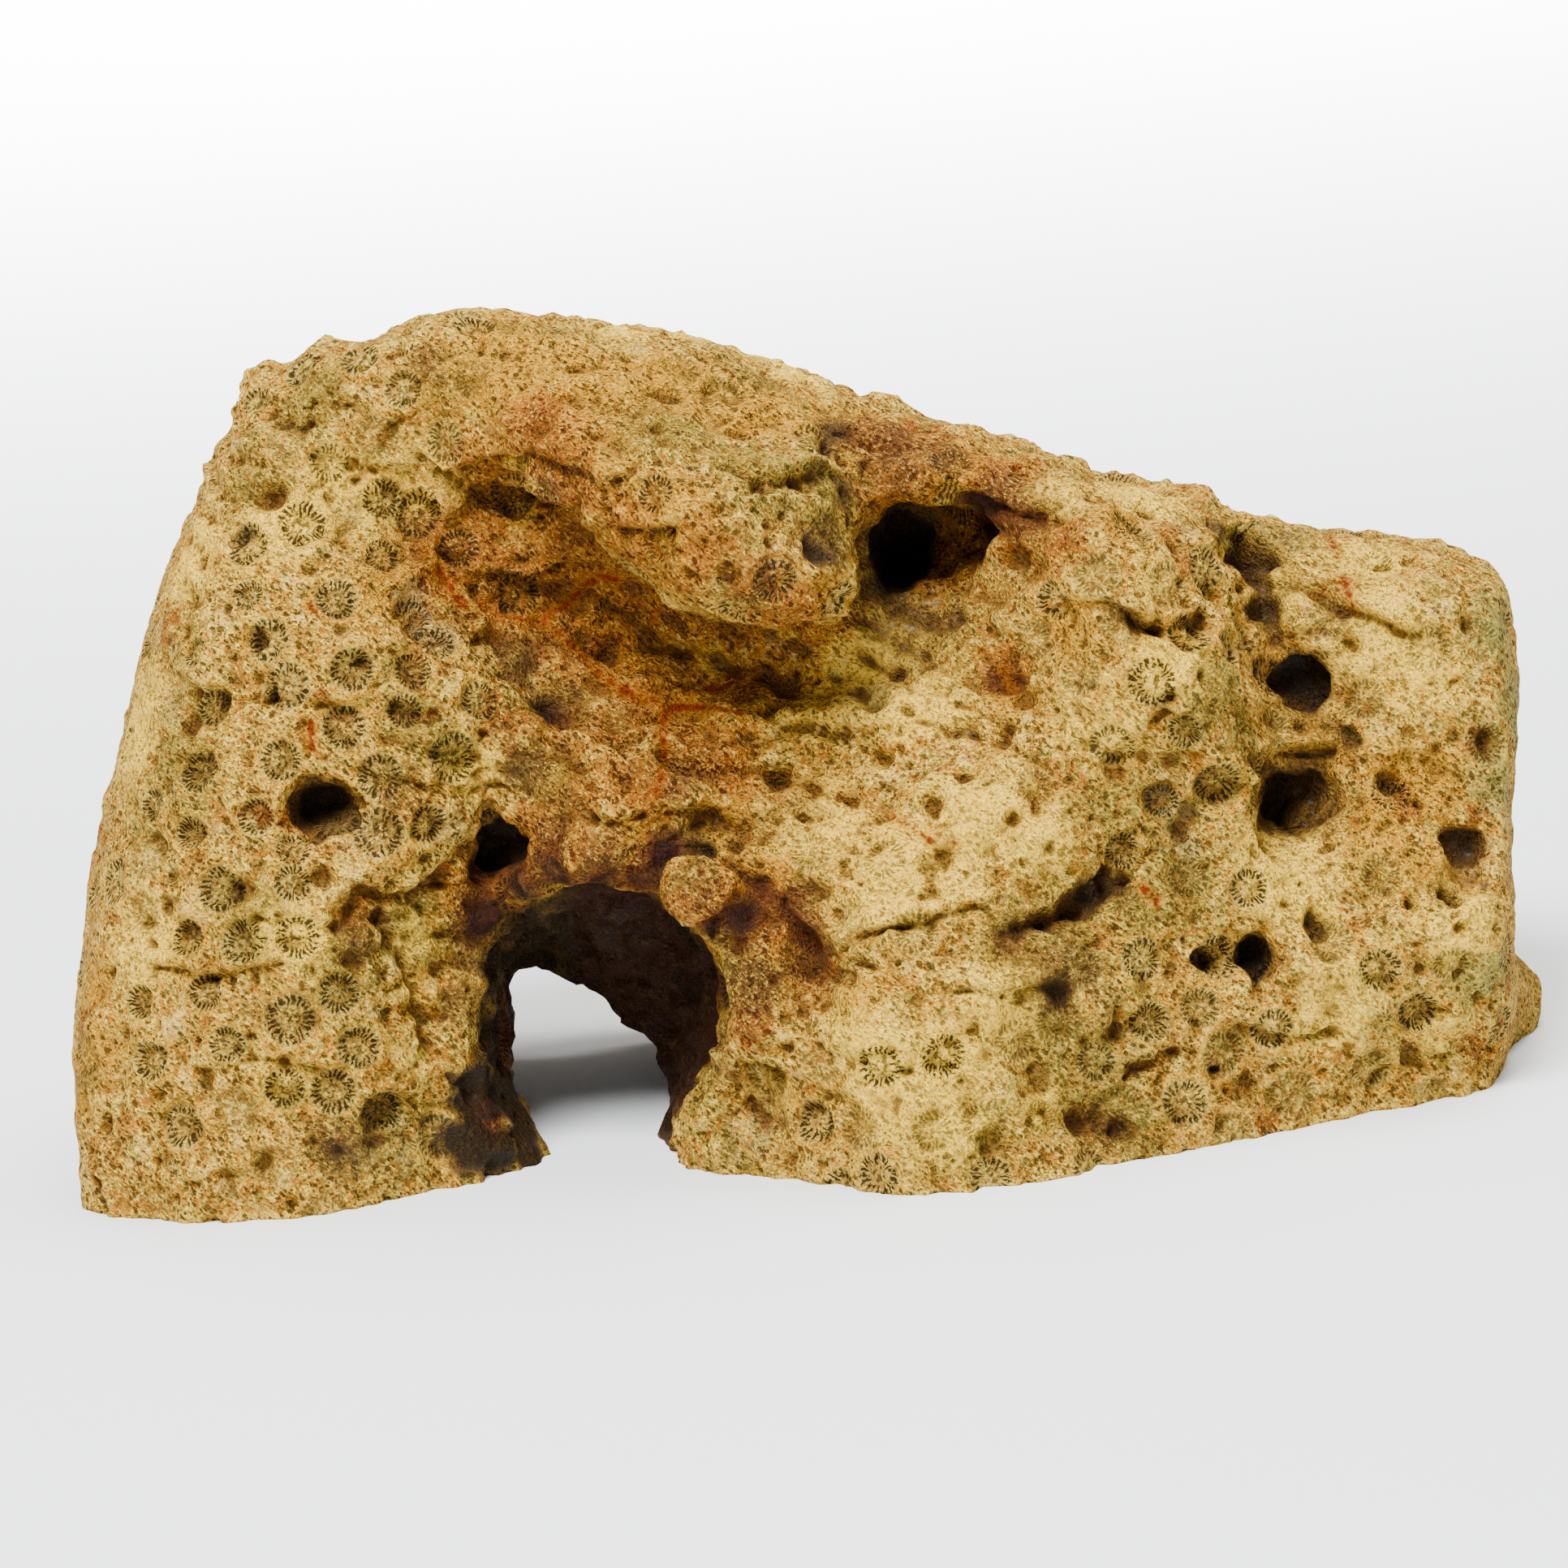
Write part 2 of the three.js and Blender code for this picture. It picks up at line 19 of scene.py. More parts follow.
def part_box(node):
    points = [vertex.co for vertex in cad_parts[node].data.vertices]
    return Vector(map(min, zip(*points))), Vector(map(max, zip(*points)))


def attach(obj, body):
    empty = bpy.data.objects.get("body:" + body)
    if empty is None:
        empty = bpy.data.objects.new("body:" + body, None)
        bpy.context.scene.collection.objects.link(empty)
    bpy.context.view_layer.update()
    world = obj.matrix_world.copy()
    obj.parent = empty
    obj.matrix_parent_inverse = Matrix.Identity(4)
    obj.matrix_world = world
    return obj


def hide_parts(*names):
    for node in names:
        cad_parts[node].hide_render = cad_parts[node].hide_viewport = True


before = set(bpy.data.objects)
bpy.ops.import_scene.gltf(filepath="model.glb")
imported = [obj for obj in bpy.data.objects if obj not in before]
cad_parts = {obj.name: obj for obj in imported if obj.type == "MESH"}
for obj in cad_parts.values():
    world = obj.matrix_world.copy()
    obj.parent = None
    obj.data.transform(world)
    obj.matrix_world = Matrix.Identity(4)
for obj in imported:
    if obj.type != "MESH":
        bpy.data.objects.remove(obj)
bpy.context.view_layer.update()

bl_info = {
    "name": "Fossil coral",
    "version": (1, 0, 0),
    "blender": (4, 5, 0),
    "location": "View3D > Sidebar > Fossil coral",
    "description": "Builds a worn block of fossil star coral on a plain studio floor",
    "category": "Add Mesh",
}

MM = 0.001
NODE = "fossil_coral"
SLOT = "coral_stone"

# The camera looks down a little and leans to its left. Places on the front of the block are given
# as it sees them: millimetres to the right of its target and millimetres above it.
VIEW_DROP = math.radians(13)
VIEW_LEAN = math.radians(5)
VIEW_TARGET = Vector((-1.0147, -14.6279, 27.9)) * MM
VIEW_DISTANCE = 420 * MM
VIEW_WIDTH = 113.647 * MM
SENSOR_WIDTH = 36

LOOK = Vector((0, math.cos(VIEW_DROP), -math.sin(VIEW_DROP)))
UP = Vector((
    math.sin(VIEW_LEAN),
    math.cos(VIEW_LEAN) * math.sin(VIEW_DROP),
    math.cos(VIEW_LEAN) * math.cos(VIEW_DROP),
))
RIGHT = LOOK.cross(UP)
EYE = VIEW_TARGET - LOOK * VIEW_DISTANCE

# The archway through the foot, in millimetres: its middle from left to right, how far it reaches
# to each side of that, and how high it is.
ARCH_MIDDLE = -14
ARCH_REACH = 13
ARCH_HEIGHT = 25
# From where to where its share grows behind the front and fades towards the back.
ARCH_FRONT = (-14, -10.5)
ARCH_BACK = (16, 24)
# From its dark left wall to its reddish right one.
ARCH_LEFT_TO_RIGHT = (-20, -15)

# Each new direction is turned by this angle from the last, which spreads them evenly.
GOLDEN_ANGLE = 2.39996
# Further off than anything, in millimetres.
FAR = 1e6
# How many places are tried for the cups and for the bores that are strewn at random.
CUP_TRIES = 30000
BORE_TRIES = 700
# How far apart the strewn bores stand, and their least and greatest half width.
BORE_SPACING = 5.5
BORE_SIZES = (0.5, 1.2)
# Two prime numbers that make shares which jump about from point to point.
JUMP = 7919
JUMP_COUNT = 97

# How far apart the places along a line are, in millimetres.
TRACE_STEP = 0.3
# How far the solid's foot is made to run on below the cut, and the grid across the cut.
SPARE_FOOT = 3 * MM
SOLE_GRID = 3.2 * MM
# Corners of the mesh that are nearer than this count as one.
TOUCHING = 0.0001 * MM
# How much a face has to turn to the viewer to count as part of the front.
FRONT_FACING = 0.12
# From where to where the front, with its placed details, gives way to the rest, in millimetres.
BEHIND_FRONT = (-14, -2)
# The two ends of the block are worn flat from this far out.
FLAT_ENDS = (38, 44)
# How far the relief may go in and out, in millimetres.
DEEPEST = -2.6
HIGHEST = 1.1
# How near the stone that shuts in a nook and a cave has to be, in millimetres, how many ways are
# tried and how far off the surface they start.
NOOK_REACH = 3
CAVE_REACH = 14
SHELTER_RAYS = 12
SHELTER_START = 0.12

# The grain of the stone leans to the right; plain grain doesn't.
LEAN = (0.15, math.radians(48), 0)
LEVEL = (0, 0, 0)

# Cups of the coral that show on the front: (across, up, radius), crispest first.
CRISP_CUPS = (
    (31.5, 0.1, 2.1), (-36.1, 7.1, 2.1), (-31.3, 8.3, 1.9), (-36.5, 1.7, 1.8), (-38.4, -2.4, 1.6),
    (-41.4, 5.5, 1.6), (-29.4, -3.5, 2.2), (-23.9, 1.9, 2.2), (-43.3, -11.1, 1.6),
    (-31.9, 4.1, 1.9), (-27.5, 5.3, 1.5), (-40.9, -7.6, 2), (-25.6, -3, 1.7), (-42.3, 0.8, 1.8),
    (-19.2, 13.8, 2), (29.1, 3.7, 1.5), (-35.5, -4.6, 1.5), (-28.9, -23.8, 1.9), (27.4, -1.4, 1.5),
)
PLAIN_CUPS = (
    (-32.4, 13.4, 1.8), (-42.3, 9.4, 1.4), (-45.8, -1.5, 1.5), (-43.2, -3.5, 1.4),
    (-25.2, 10.4, 1.8), (-26.7, 12.6, 1.8), (-29.1, 20.6, 1.8), (-26.5, 19.5, 2.1),
    (-29.1, 16.5, 1.6), (-23.5, 17.1, 1.8), (-38.9, 13.7, 1.4), (-34.9, 18.9, 2.1),
    (-26.9, 8.3, 1.6), (-22, 6.1, 1.6), (-35.8, -17.1, 2.2), (-35.6, -7.2, 1.6),
    (-46.7, -15.8, 1.5), (-35.2, -11.1, 1.9), (-39.2, -11.4, 1.9), (-32.7, -22.3, 2),
    (-30.8, -19.1, 1.9), (-46.1, -20.1, 1.8), (-42, -15.1, 1.6), (-36.2, -22.1, 1.8),
    (-32.2, -15.2, 1.8), (-43.7, -24.9, 1.8), (-40.4, -18.9, 1.6), (33.7, -7.6, 1.8),
    (24.4, -4.6, 1.5), (26.7, 7.4, 2.1), (25.1, 18.3, 2), (46, -16.6, 1.9),
)
WORN_CUPS = (
    (16.8, -18.6, 1.9), (37, -22.6, 2.2), (14.5, -24.6, 2), (18.7, -24.1, 1.4), (24.4, -23.8, 2.5),
    (19.9, -17.4, 2.1), (21.7, -13.2, 1.9), (18.1, -0.2, 1.6), (24.6, -8.5, 1.5), (27.9, 14.4, 2.1),
    (22.6, 15.1, 1.9), (21.7, 8, 1.9), (17.9, 10.4, 1.8), (28.8, 19.2, 1.6), (39.6, -11.4, 1.9),
    (43.2, -6.7, 1.8), (42.6, -20.8, 1.9), (48.5, -13.2, 1.8), (42, 6.2, 1.8), (46.7, 9.8, 2),
    (39.6, 12.1, 1.8), (9.6, -10.8, 1.9), (5.5, -24.9, 2), (10.8, -25.2, 1.8), (1.1, -12.6, 1.9),
    (-1.5, -22, 1.9), (-3.9, -16.1, 1.6), (7.3, -5.5, 1.9), (2, -4.9, 1.8),
)
# How crisp the cups of each list are.
SEEN_CUPS = ((CRISP_CUPS, 0.95), (PLAIN_CUPS, 0.72), (WORN_CUPS, 0.36))

# Where water has worn the cups away: (across, up, reach, how much).
WORN_GROUND = (
    (-12, 27, 9, 0.8), (-20, 28, 6, 0.6), (-26, -13, 6, 0.8), (-24, -22, 5, 0.8), (-20, 13, 9, 0.8),
    (-12, 9, 10, 1), (-4, 6, 9, 1), (4, 5, 9, 1), (-12, 2, 8, 0.9), (-4, -1, 8, 0.9),
    (6, -1, 9, 0.9), (12, 4, 8, 0.9), (11, -6, 7, 0.7), (-26, -12, 7, 0.8), (12, 12, 8, 0.8),
    (5, -14, 7, 0.7), (-3, 24, 12, 0.5), (36, 15, 7, 0.7),
)

# Small pits and bores: (across, up, half width, depth).
PITS = (
    (-37.5, 6.1, 0.55, 1.3), (-21.7, 3.6, 0.4, 0.9), (-25.2, 10.5, 0.5, 0.9), (-38.2, 21, 0.8, 0.7),
    (37.6, 7.2, 1.7, 1.8), (49.3, -4.6, 1.4, 1.6), (34.4, 16.2, 1.3, 1.4), (-34.6, 27.8, 0.5, 1.2),
    (-34.6, 26.1, 0.5, 1), (-38.4, -9.5, 0.5, 0.9), (-40.2, -3.2, 0.5, 0.6),
    (-38.5, -18.2, 0.4, 0.7), (-28.9, -23.8, 0.9, 0.6), (46, -1.4, 0.5, 1), (48.6, -8.1, 0.6, 1.2),
    (45.4, -8.5, 0.35, 0.8), (30.6, -12.7, 0.9, 1.6), (43.5, 0.2, 0.9, 1.2), (25.6, 11.9, 1, 0.9),
    (30.5, 11.7, 1.1, 0.9), (16, 7.5, 0.8, 0.6), (17, 6.2, 0.8, 0.6), (-8.6, 2.1, 0.7, 0.7),
    (20.2, -15.2, 1.2, 0.9), (25, -17.5, 1, 0.8), (23, -6.4, 0.8, 0.8), (-16.7, 6.6, 0.6, 0.5),
    (27.5, 4.6, 0.9, 0.9), (25.5, 1.6, 0.7, 0.7), (28.6, -3.6, 0.7, 0.6), (33, 4.6, 0.6, 0.6),
    (-15, 19.5, 0.9, 0.7), (-8.5, 24.5, 0.9, 0.7), (1.5, 21.5, 1, 1), (3.5, 24, 1.1, 0.8),
    (-3.5, -11.5, 0.9, 0.7), (21.8, -24.5, 0.9, 0.8), (36.3, -18, 0.8, 0.5),
)

# Cracks and grooves, as lines from point to point: (half width, depth, each point across and up).
GROOVES = (
    (0.45, 0.9, (-9.1, 2.4), (-8, 1.8), (-5.1, 1.2), (-0.4, 1.4)),
    (0.35, 0.7, (1.1, 0.4), (2.6, -0.1), (5.2, -0.8)),
    (0.65, 0.9, (17.3, -10.4), (19.8, -9.1), (22, -7.9), (24.4, -6.7)),
    (0.3, 0.4, (5.5, -10.9), (8.5, -10.4), (10.8, -9.7), (13.8, -8.7)),
    (0.5, 0.8, (-31.4, 1), (-26.9, -0.2), (-23.9, -0.6), (-21.7, -1.4)),
    (0.6, 1, (-32.8, -10.1), (-31, -7.5), (-28.9, -7.8), (-26.2, -7.8), (-24.4, -7.2)),
    (0.7, 1, (-17.6, 14), (-14.1, 13.2), (-10.6, 10.9), (-7.5, 8.3)),
    (0.5, 0.9, (23.9, 13.1), (25.9, 12.1), (27.4, 11.2)),
    (0.35, 0.6, (-34.8, 6.6), (-29.1, 9.5), (-26.3, 9.9), (-24.1, 8.6)),
    (0.4, 0.6, (-27.2, 24), (-23, 21.2), (-18.3, 19.3)),
    (0.8, 1.3, (-22.8, 1.6), (-21.4, -1.2), (-20.7, -4.2), (-22.2, -7.4)),
    (0.6, 1, (-29.5, -9.5), (-27, -12.5), (-25.5, -16.5), (-24.6, -20.5)),
    (0.5, 0.9, (-8.5, -3.2), (-5.8, -4.6), (-3.6, -6.2), (-0.2, -8.6), (1.6, -11.2)),
    (0.6, 0.9, (33, 19.5), (33.4, 16.5), (35, 13.5), (35.5, 10.5)),
    (0.4, 0.6, (-9.5, -3), (-6, -1.8), (-2.4, -2.6), (1.5, -3.2)),
    (0.5, 0.7, (24.5, -21.5), (27, -19.8), (29.5, -19.4)),
)

# Thin raised rims: (half width, height, each point across and up).
RIMS = (
    (0.45, 0.9, (-25.2, 17), (-24.2, 15.6), (-20.4, 15.2), (-17, 16.2), (-15.7, 18)),
    (0.45, 0.8, (-24.4, 19.5), (-22, 22.5), (-18, 22.3), (-15.9, 20.9)),
    (0.4, 0.8, (-31.9, 15.9), (-28.4, 14.4), (-25.8, 16), (-25.4, 18.9)),
    (0.4, 0.8, (-29.9, 11.6), (-27.6, 9.9), (-23.2, 10), (-21.5, 12.4), (-24, 14)),
    (0.35, 0.5, (26.5, 6), (28.1, 7.6), (28, 9.6), (26.5, 10.6)),
    (0.35, 0.4, (17.6, 7.7), (20.4, 7.1), (23.3, 5.3), (26.2, 5.5)),
    (0.3, 0.45, (29.4, -0.6), (30.2, 2.2), (32.6, 2.1), (33.9, 0.3), (32.9, -2.1), (30.6, -2.3),
        (29.4, -0.6)),
    (0.4, 0.5, (-1.5, -8.3), (3, -10.5), (5.2, -10.8), (8.4, -10)),
    (0.4, 0.4, (35, 2), (38, 3), (43, 2.3), (46.5, 2.6)),
    (0.35, 0.4, (34.8, -15), (37.5, -13), (41, -13.4)),
    (0.35, 0.4, (25, -21), (25.5, -24), (28, -26)),
    (0.35, 0.45, (29.5, -14), (31.4, -11.2), (31, -9.6)),
)

# Shelves that stand out above a line: (reach upwards, height, each point across and up).
LEDGES = (
    (3.5, 0.7, (-24.5, 22.6), (-21.5, 24), (-18, 24.2), (-15.8, 22.8)),
    (3, 0.8, (-24.3, 17), (-22, 15.6), (-19, 15.4), (-16.5, 16.4)),
    (3, 0.7, (-33.9, 6.4), (-31.3, 5.9)), (4, 1, (-9.4, 2.6), (-8, 1.8), (-5.1, 1.2), (-0.4, 1.4)),
    (3, 0.8, (1.1, 0.4), (2.6, -0.1), (5.2, -0.8)),
    (3, 0.8, (-32.8, -10.1), (-31, -7.5), (-28.9, -7.8), (-26.2, -7.8), (-24.4, -7.2)),
    (4, 1.1, (17.3, -10.2), (19.8, -8.9), (22, -7.7), (24.4, -6.5)),
    (2.5, 0.6, (5.5, -10.7), (8.5, -10.2), (10.8, -9.5), (13.8, -8.5)),
    (4, 1, (32.6, 18.1), (36.1, 16.8), (37.5, 14.7), (41.1, 12.9), (44.7, 11.5)),
    (2.5, 0.7, (34, 2), (36, 2.6), (39.5, 2.6)), (2.5, 0.6, (36.4, 11.2), (39, 11.4), (41, 10.2)),
    (2.5, 0.7, (23.1, 13.4), (25, 12.6), (26.4, 11.7)),
    (3, 0.7, (-27, 3.2), (-25, 2.6), (-23, 3.2)),
    (2.5, 0.6, (-12.5, -2.6), (-9, -1.6), (-5, -2.2), (-1, -3.2)),
    (2.5, 0.6, (-17.5, 4.2), (-14.5, 3.2), (-11, 3.4)),
    (2.5, 0.6, (-14, 7.6), (-10.5, 6.6), (-7, 7.4)), (2.5, 0.6, (0, 4.8), (4, 4), (8, 4.6)),
    (3, 0.7, (-45, -13.2), (-41, -13.6), (-38, -13)),
    (3, 0.6, (-36, -20), (-33, -20.6), (-30, -20.2)),
    (3, 0.6, (12, -14.8), (16, -15.2), (18.5, -14.6)),
    (3, 0.6, (33, -17.4), (36.5, -18.4), (40, -17.8)),
    (3, 0.8, (-3.8, 23), (-0.5, 22), (2.5, 22.8)),
    (3, 0.7, (-14, 19.2), (-10.5, 18.4), (-7.5, 19.4)),
    (3, 0.7, (14.5, 21), (17.5, 19.8), (20, 20.6)),
)

# Broad hollows and mounds: (across, up, reach, height).
SWELLS = (
    (-20.5, 1, 3.5, -1.5), (1.9, -13.5, 2.6, -1.5), (-2.5, -22.3, 2.6, -1.3),
    (-27.5, -11.5, 3.5, -1.2), (-25.2, -16.5, 3.2, -1.3), (-24.2, -22, 3, -1.3),
    (15.9, 8, 2.4, -1.2), (18.3, 19.9, 1.6, -0.9), (22.1, -24.5, 2.4, -1), (12, 15.4, 2.4, -1),
    (-16.9, 6.2, 2, -1.2), (-26.2, 12.2, 1.8, -1), (-21, 19.6, 2.4, -0.9), (36.8, 8.2, 1.8, -1),
    (9.5, -16.8, 2, -0.6), (-41, -22, 2.6, -0.7), (34, -21.5, 2.6, -0.7), (28, -12, 2.2, -0.6),
    (48.5, -3.8, 1.6, -1), (-36.2, 26.8, 1.8, -0.8), (5.9, -16.6, 2.4, 1), (6.7, -27.4, 2.4, 0.9),
    (10.4, -23.5, 2.4, 0.8), (14, -15.6, 2.2, 0.9), (13.8, -2, 2.8, 0.9), (6.7, -19.7, 2.8, 0.9),
    (-5.9, -7.4, 3, 1.6), (24.9, 7.8, 2.8, 0.9), (22.5, 18, 2.8, 0.8), (29.4, 21, 2.2, 0.7),
    (-3.5, 20, 2.6, 0.7), (39.5, -5, 2.6, 0.6), (-31.5, 24, 2.4, 0.6), (19.5, -3.4, 2.4, 0.7),
    (32.5, -15, 1.6, 0.6), (-14, -5.5, 2.2, 0.7), (-6.5, 12, 2, 0.9), (2.5, 11.5, 2.6, 0.9),
    (-42, 9, 2.6, 0.5), (44.5, 13, 2.6, 0.5),
)

# Lumps on the floors of the bores: (across, up, reach, height towards the viewer).
LUMPS = ((-32, -3.2, 1.6, 2.4), (34, -13.4, 1, 1.4), (36.9, -2.8, 1.2, 1.4))

# Thin red seams of iron stain, as lines from point to point.
VEINS = (
    ((-21.9, 12.6), (-20.1, 12.1), (-18, 11.8), (-15.8, 12.9), (-14.6, 14.2), (-13.5, 15.1),
        (-12.2, 14.8)),
    ((-18, 11.8), (-16.4, 11), (-14.2, 8.9), (-12.4, 7.3), (-10.6, 6.2), (-9.4, 6.1)),
    ((-8.6, 5.4), (-8.9, 3.9), (-8.6, 2.1), (-9, 0.1), (-9.6, -1.3)),
    ((-8.6, 5.4), (-6.8, 5.6), (-4.5, 5.4), (-2.7, 5.1)), ((-7, 6.6), (-4.4, 7), (-2.2, 8.2)),
    ((-25.8, 16.8), (-24.5, 14.6), (-23.2, 13)), ((39.4, 18.2), (40.1, 16.5)),
    ((40.6, 15), (41.2, 12.9)), ((15.9, 8.1), (16.5, 6.9)), ((10.6, -2.9), (12.3, -4.4)),
    ((10.9, -4.2), (8, -2.5)), ((-34.2, 12.9), (-33.4, 11.9)), ((-34.3, 4.6), (-34.3, 2.7)),
    ((26, -7.5), (27, -8.5)),
)

# Stains on the front, and where light and shade are painted: (across, up, reach), and then how
# strong where that is not 1.
RUST_GROUND = (
    (-12, 18, 6, 0.8), (-6, 16, 5, 0.7), (-2, 14, 4, 0.8), (-16, 22, 5), (-8, 12, 5), (0, 12, 4),
    (-18, 26, 4), (-10, 22, 3, 0.5), (-24, 17, 5), (-20, 15, 6), (-16, 14, 6), (-12, 13, 5),
    (-4, 11.5, 4), (3, 11, 3), (-14, 10, 6), (-8, 9, 5), (-22, 20, 4), (-16, 17, 5), (-22, 23, 3),
    (-26, -14, 3, 0.5), (-44.5, -13, 3, 0.6), (-14, 4, 5, 0.8), (-9, 5, 5, 0.9), (-10, 0, 4, 0.8),
    (-5, 2, 5, 0.8), (-3, 7, 4, 0.9), (1, 7.5, 4, 0.9), (4, 8, 3, 0.8), (-15, 0, 4, 0.7),
    (-18, -4.5, 4), (-22, -8, 4), (-14, -6, 4), (-10, -6.5, 4), (-5, -8, 4), (-1, -10, 4),
    (2, -13.5, 3), (-3, -17, 3), (17, 20, 5), (14, 18, 4), (20, 18, 3), (10, 25.5, 3), (8, 25, 4),
    (16, 22, 4), (16, 8, 2.5), (12, 15, 4), (-8, -9, 4), (3, -2, 4, 0.8), (6.5, -4, 4, 0.8),
    (1, -1, 3, 0.7), (16.5, -12, 2.5, 0.6), (8, 22, 4), (41, 14.5, 3, 0.6), (-31, -9, 2.5, 0.7),
    (-27, -1, 3, 0.5), (-26, 10, 3, 0.5), (-20.5, -18, 4), (-21, -24, 3, 0.6),
)
OLIVE_GROUND = (
    (-15.5, 5.5, 3), (-17, 1, 3), (-26, 4, 4), (25, -2, 6, 0.75), (-5, 29.5, 3, 0.5),
    (5.5, 22.5, 3, 0.7), (19, -10, 5), (28, -8, 5), (31, 7, 5), (33, 4, 4), (11, 11, 5), (3, 21, 5),
    (-9, 25, 5), (-22, -9, 3), (-27, -11, 4), (-29, -25, 5), (-6, -22, 3), (-4, -13, 4),
    (21, -21, 7), (13, -25, 5), (17, -12, 4), (35, 18, 4), (25, -25, 4), (-34, 28, 4), (-37, 21, 4),
    (-2, 22, 5), (-38, -10, 4), (-44, 2, 5), (-32, -14, 4), (-24.6, 29.6, 4, 0.7),
    (-28, 18, 4, 0.6), (-44, 10, 4, 0.6), (-46, -3, 4, 0.6), (-20, 7, 3, 0.6), (42, -7.6, 4, 0.5),
    (34.7, -23, 4, 0.5), (48, -20, 3, 0.5), (-1, -24, 3, 0.6),
)
# Pale cream: partly the stone's own pale patches, partly painted light that lifts shaded places,
# such as the strip under the overhanging nose.
PALE_AND_LIT_GROUND = (
    (7, -20, 5), (8, -6, 6), (14, -2, 5), (11, -20, 5), (16, -16, 4), (12, -24, 4), (12, -5, 5),
    (18, -4, 4), (-12, 33, 3), (-7, 32.5, 3), (-2, 31, 3), (1, 29.5, 3), (-36, 19, 4), (-32, 21, 4),
    (37, -7, 5), (43, 11, 5), (46, 8, 4), (42, 16, 4), (26, 21, 4), (20, 21, 3), (-43, 16, 4),
    (-47, 4, 5), (-35, -11, 3), (7, -23, 4), (3, -3, 4), (6, 8, 4), (10, 6, 4), (49, -10, 4),
    (40, -16, 4), (28, 9, 3), (13, -20, 3), (-46, -12, 4), (36, 14, 3), (-26, 22, 4, 0.6),
    (-22.5, 1.3, 2.6, 0.7), (-27, -11, 2.6, 0.6), (-27, -15, 2.6, 0.6), (-27, -20, 2.6, 0.6),
    (-36, -21, 3, 0.6), (23.5, 4, 4, 0.7), (-0.5, -21.5, 3, 0.6), (47.5, -17.5, 3, 0.6),
    (-5, 8.6, 3, 0.5), (2, 6.5, 3.4, 0.6), (-8, 10, 3, 0.4), (18.6, -23.6, 2.4, 0.6),
    (26.5, 14.6, 3, 0.5),
)
AMBER_GROUND = (
    (-20, 29, 6), (-14, 28, 6), (-8, 28, 6), (-2, 27, 5), (-14, 24, 5), (4, 26, 5), (-20, 32, 4),
    (-24, 30, 4), (-16, 30, 4), (13, 23, 4), (24, 19, 3), (28, 10, 4), (46, 0, 4), (43, -3, 3),
    (47, -6, 3), (-20, 21, 3), (19, -24, 2), (21, 11, 3), (-11, -3, 3), (-5, -2, 3), (-16, -1, 3),
    (-3, -7, 4), (5, -16, 3), (-50, -19, 3), (-51, -22, 3), (-50, -15, 3), (34, -13, 2), (36, 9, 3),
    (17, 6, 3), (38, 2, 3), (-28, 14, 3), (-8, 18, 5),
)
# Brown: partly umber stain, partly painted shade in crevices, under overhangs and round the
# archway.
UMBER_AND_SHADE_GROUND = (
    (-18.6, 0.9, 2.4), (-20, -4.4, 3.2), (-15.6, -2, 2.5, 0.7), (-29.5, -9.2, 2, 0.8),
    (-23.5, -16, 2.4), (-22.5, -22, 3), (-22.5, -26, 3), (-22.5, -10, 2.6), (-17, -4.6, 3),
    (-13, -5.4, 3), (-9.5, -5.6, 2.6), (-6, -7.4, 3, 0.8), (-3.9, -10.8, 2.6), (-2, -14.5, 2.4),
    (-4.6, -18.6, 2.6), (2.4, -13, 2), (1, -9, 2.6), (-12, -4.8, 2.4), (-16, 10.5, 3, 0.7),
    (-26, 30.5, 2.2), (-17, 21, 2.4), (15.5, 7.5, 1.6), (33.5, 16, 1.6, 0.6), (35, 13, 1.6, 0.6),
    (19.5, -14.5, 3.5), (22, -14, 2.6, 0.8), (22.5, -25, 2.6), (-21, 15, 2.2, 0.6),
    (-7, 0.5, 3, 0.9), (24, 12.5, 2), (-38, -16.5, 2, 0.6), (14, 16.5, 3, 0.8), (36.5, 7.5, 2.2),
    (28, -18.5, 2.4, 0.7), (9, 21.5, 2.4, 0.7), (4, 25.5, 3), (8, 25, 3), (11, 24, 2.6),
    (16, 20.5, 3), (18.5, 19.5, 2.6), (3, 17.5, 3, 0.8), (-1.5, 14.5, 2.5, 0.6), (-17, 6, 2.5, 0.8),
    (47.5, -7.5, 2.4, 0.7), (36.5, -15, 2, 0.6), (1, -2, 2.4, 0.6), (40.5, 13.5, 2, 0.6),
    (-24.6, 29.6, 3, 0.6), (-19, 9, 3, 0.9), (-28, -1.5, 2.4, 0.6), (-31, -11.5, 2.6, 0.9),
    (-33.5, -26, 2.8, 0.9), (16.4, -11.5, 2.4, 0.6), (37, 15.2, 2.2, 0.6), (-12, 3, 3, 0.5),
    (-4.5, 14.4, 2.6, 0.8), (41, 12, 2.4, 0.8), (49.5, -5.3, 2, 0.8), (-3.5, -20.8, 2.4, 0.8),
)
GREY_GROUND = (
    (-32.3, -3.1, 1.5), (-24.8, 10.3, 1.8), (-27.2, 13.6, 1.6), (29.4, -4.2, 1.4),
    (-20.5, 19.8, 1.3, 0.7), (6.5, 6.5, 2.4), (36.2, -1.8, 1.4, 0.8), (-31, 20, 1.8, 0.6),
    (-44.5, 5.5, 2, 0.7), (1.5, 17.5, 1.4), (-8, 10.6, 2.4, 0.3), (-4, 9.4, 2.8, 0.35),
    (0, 8.6, 2.8, 0.35), (4, 8, 2.8, 0.4), (7, 9.6, 2.2, 0.4), (-28, -26, 3, 0.6),
    (-2, -25, 3, 0.6), (-24, -3, 2.4, 0.6), (24, -18, 3, 0.5),
)
MOSS_GROUND = (
    (52, 12, 4), (53, 6, 4), (52, 0, 3), (51, -14, 3), (43, -17, 4, 0.6), (29, -3, 3, 0.7),
)
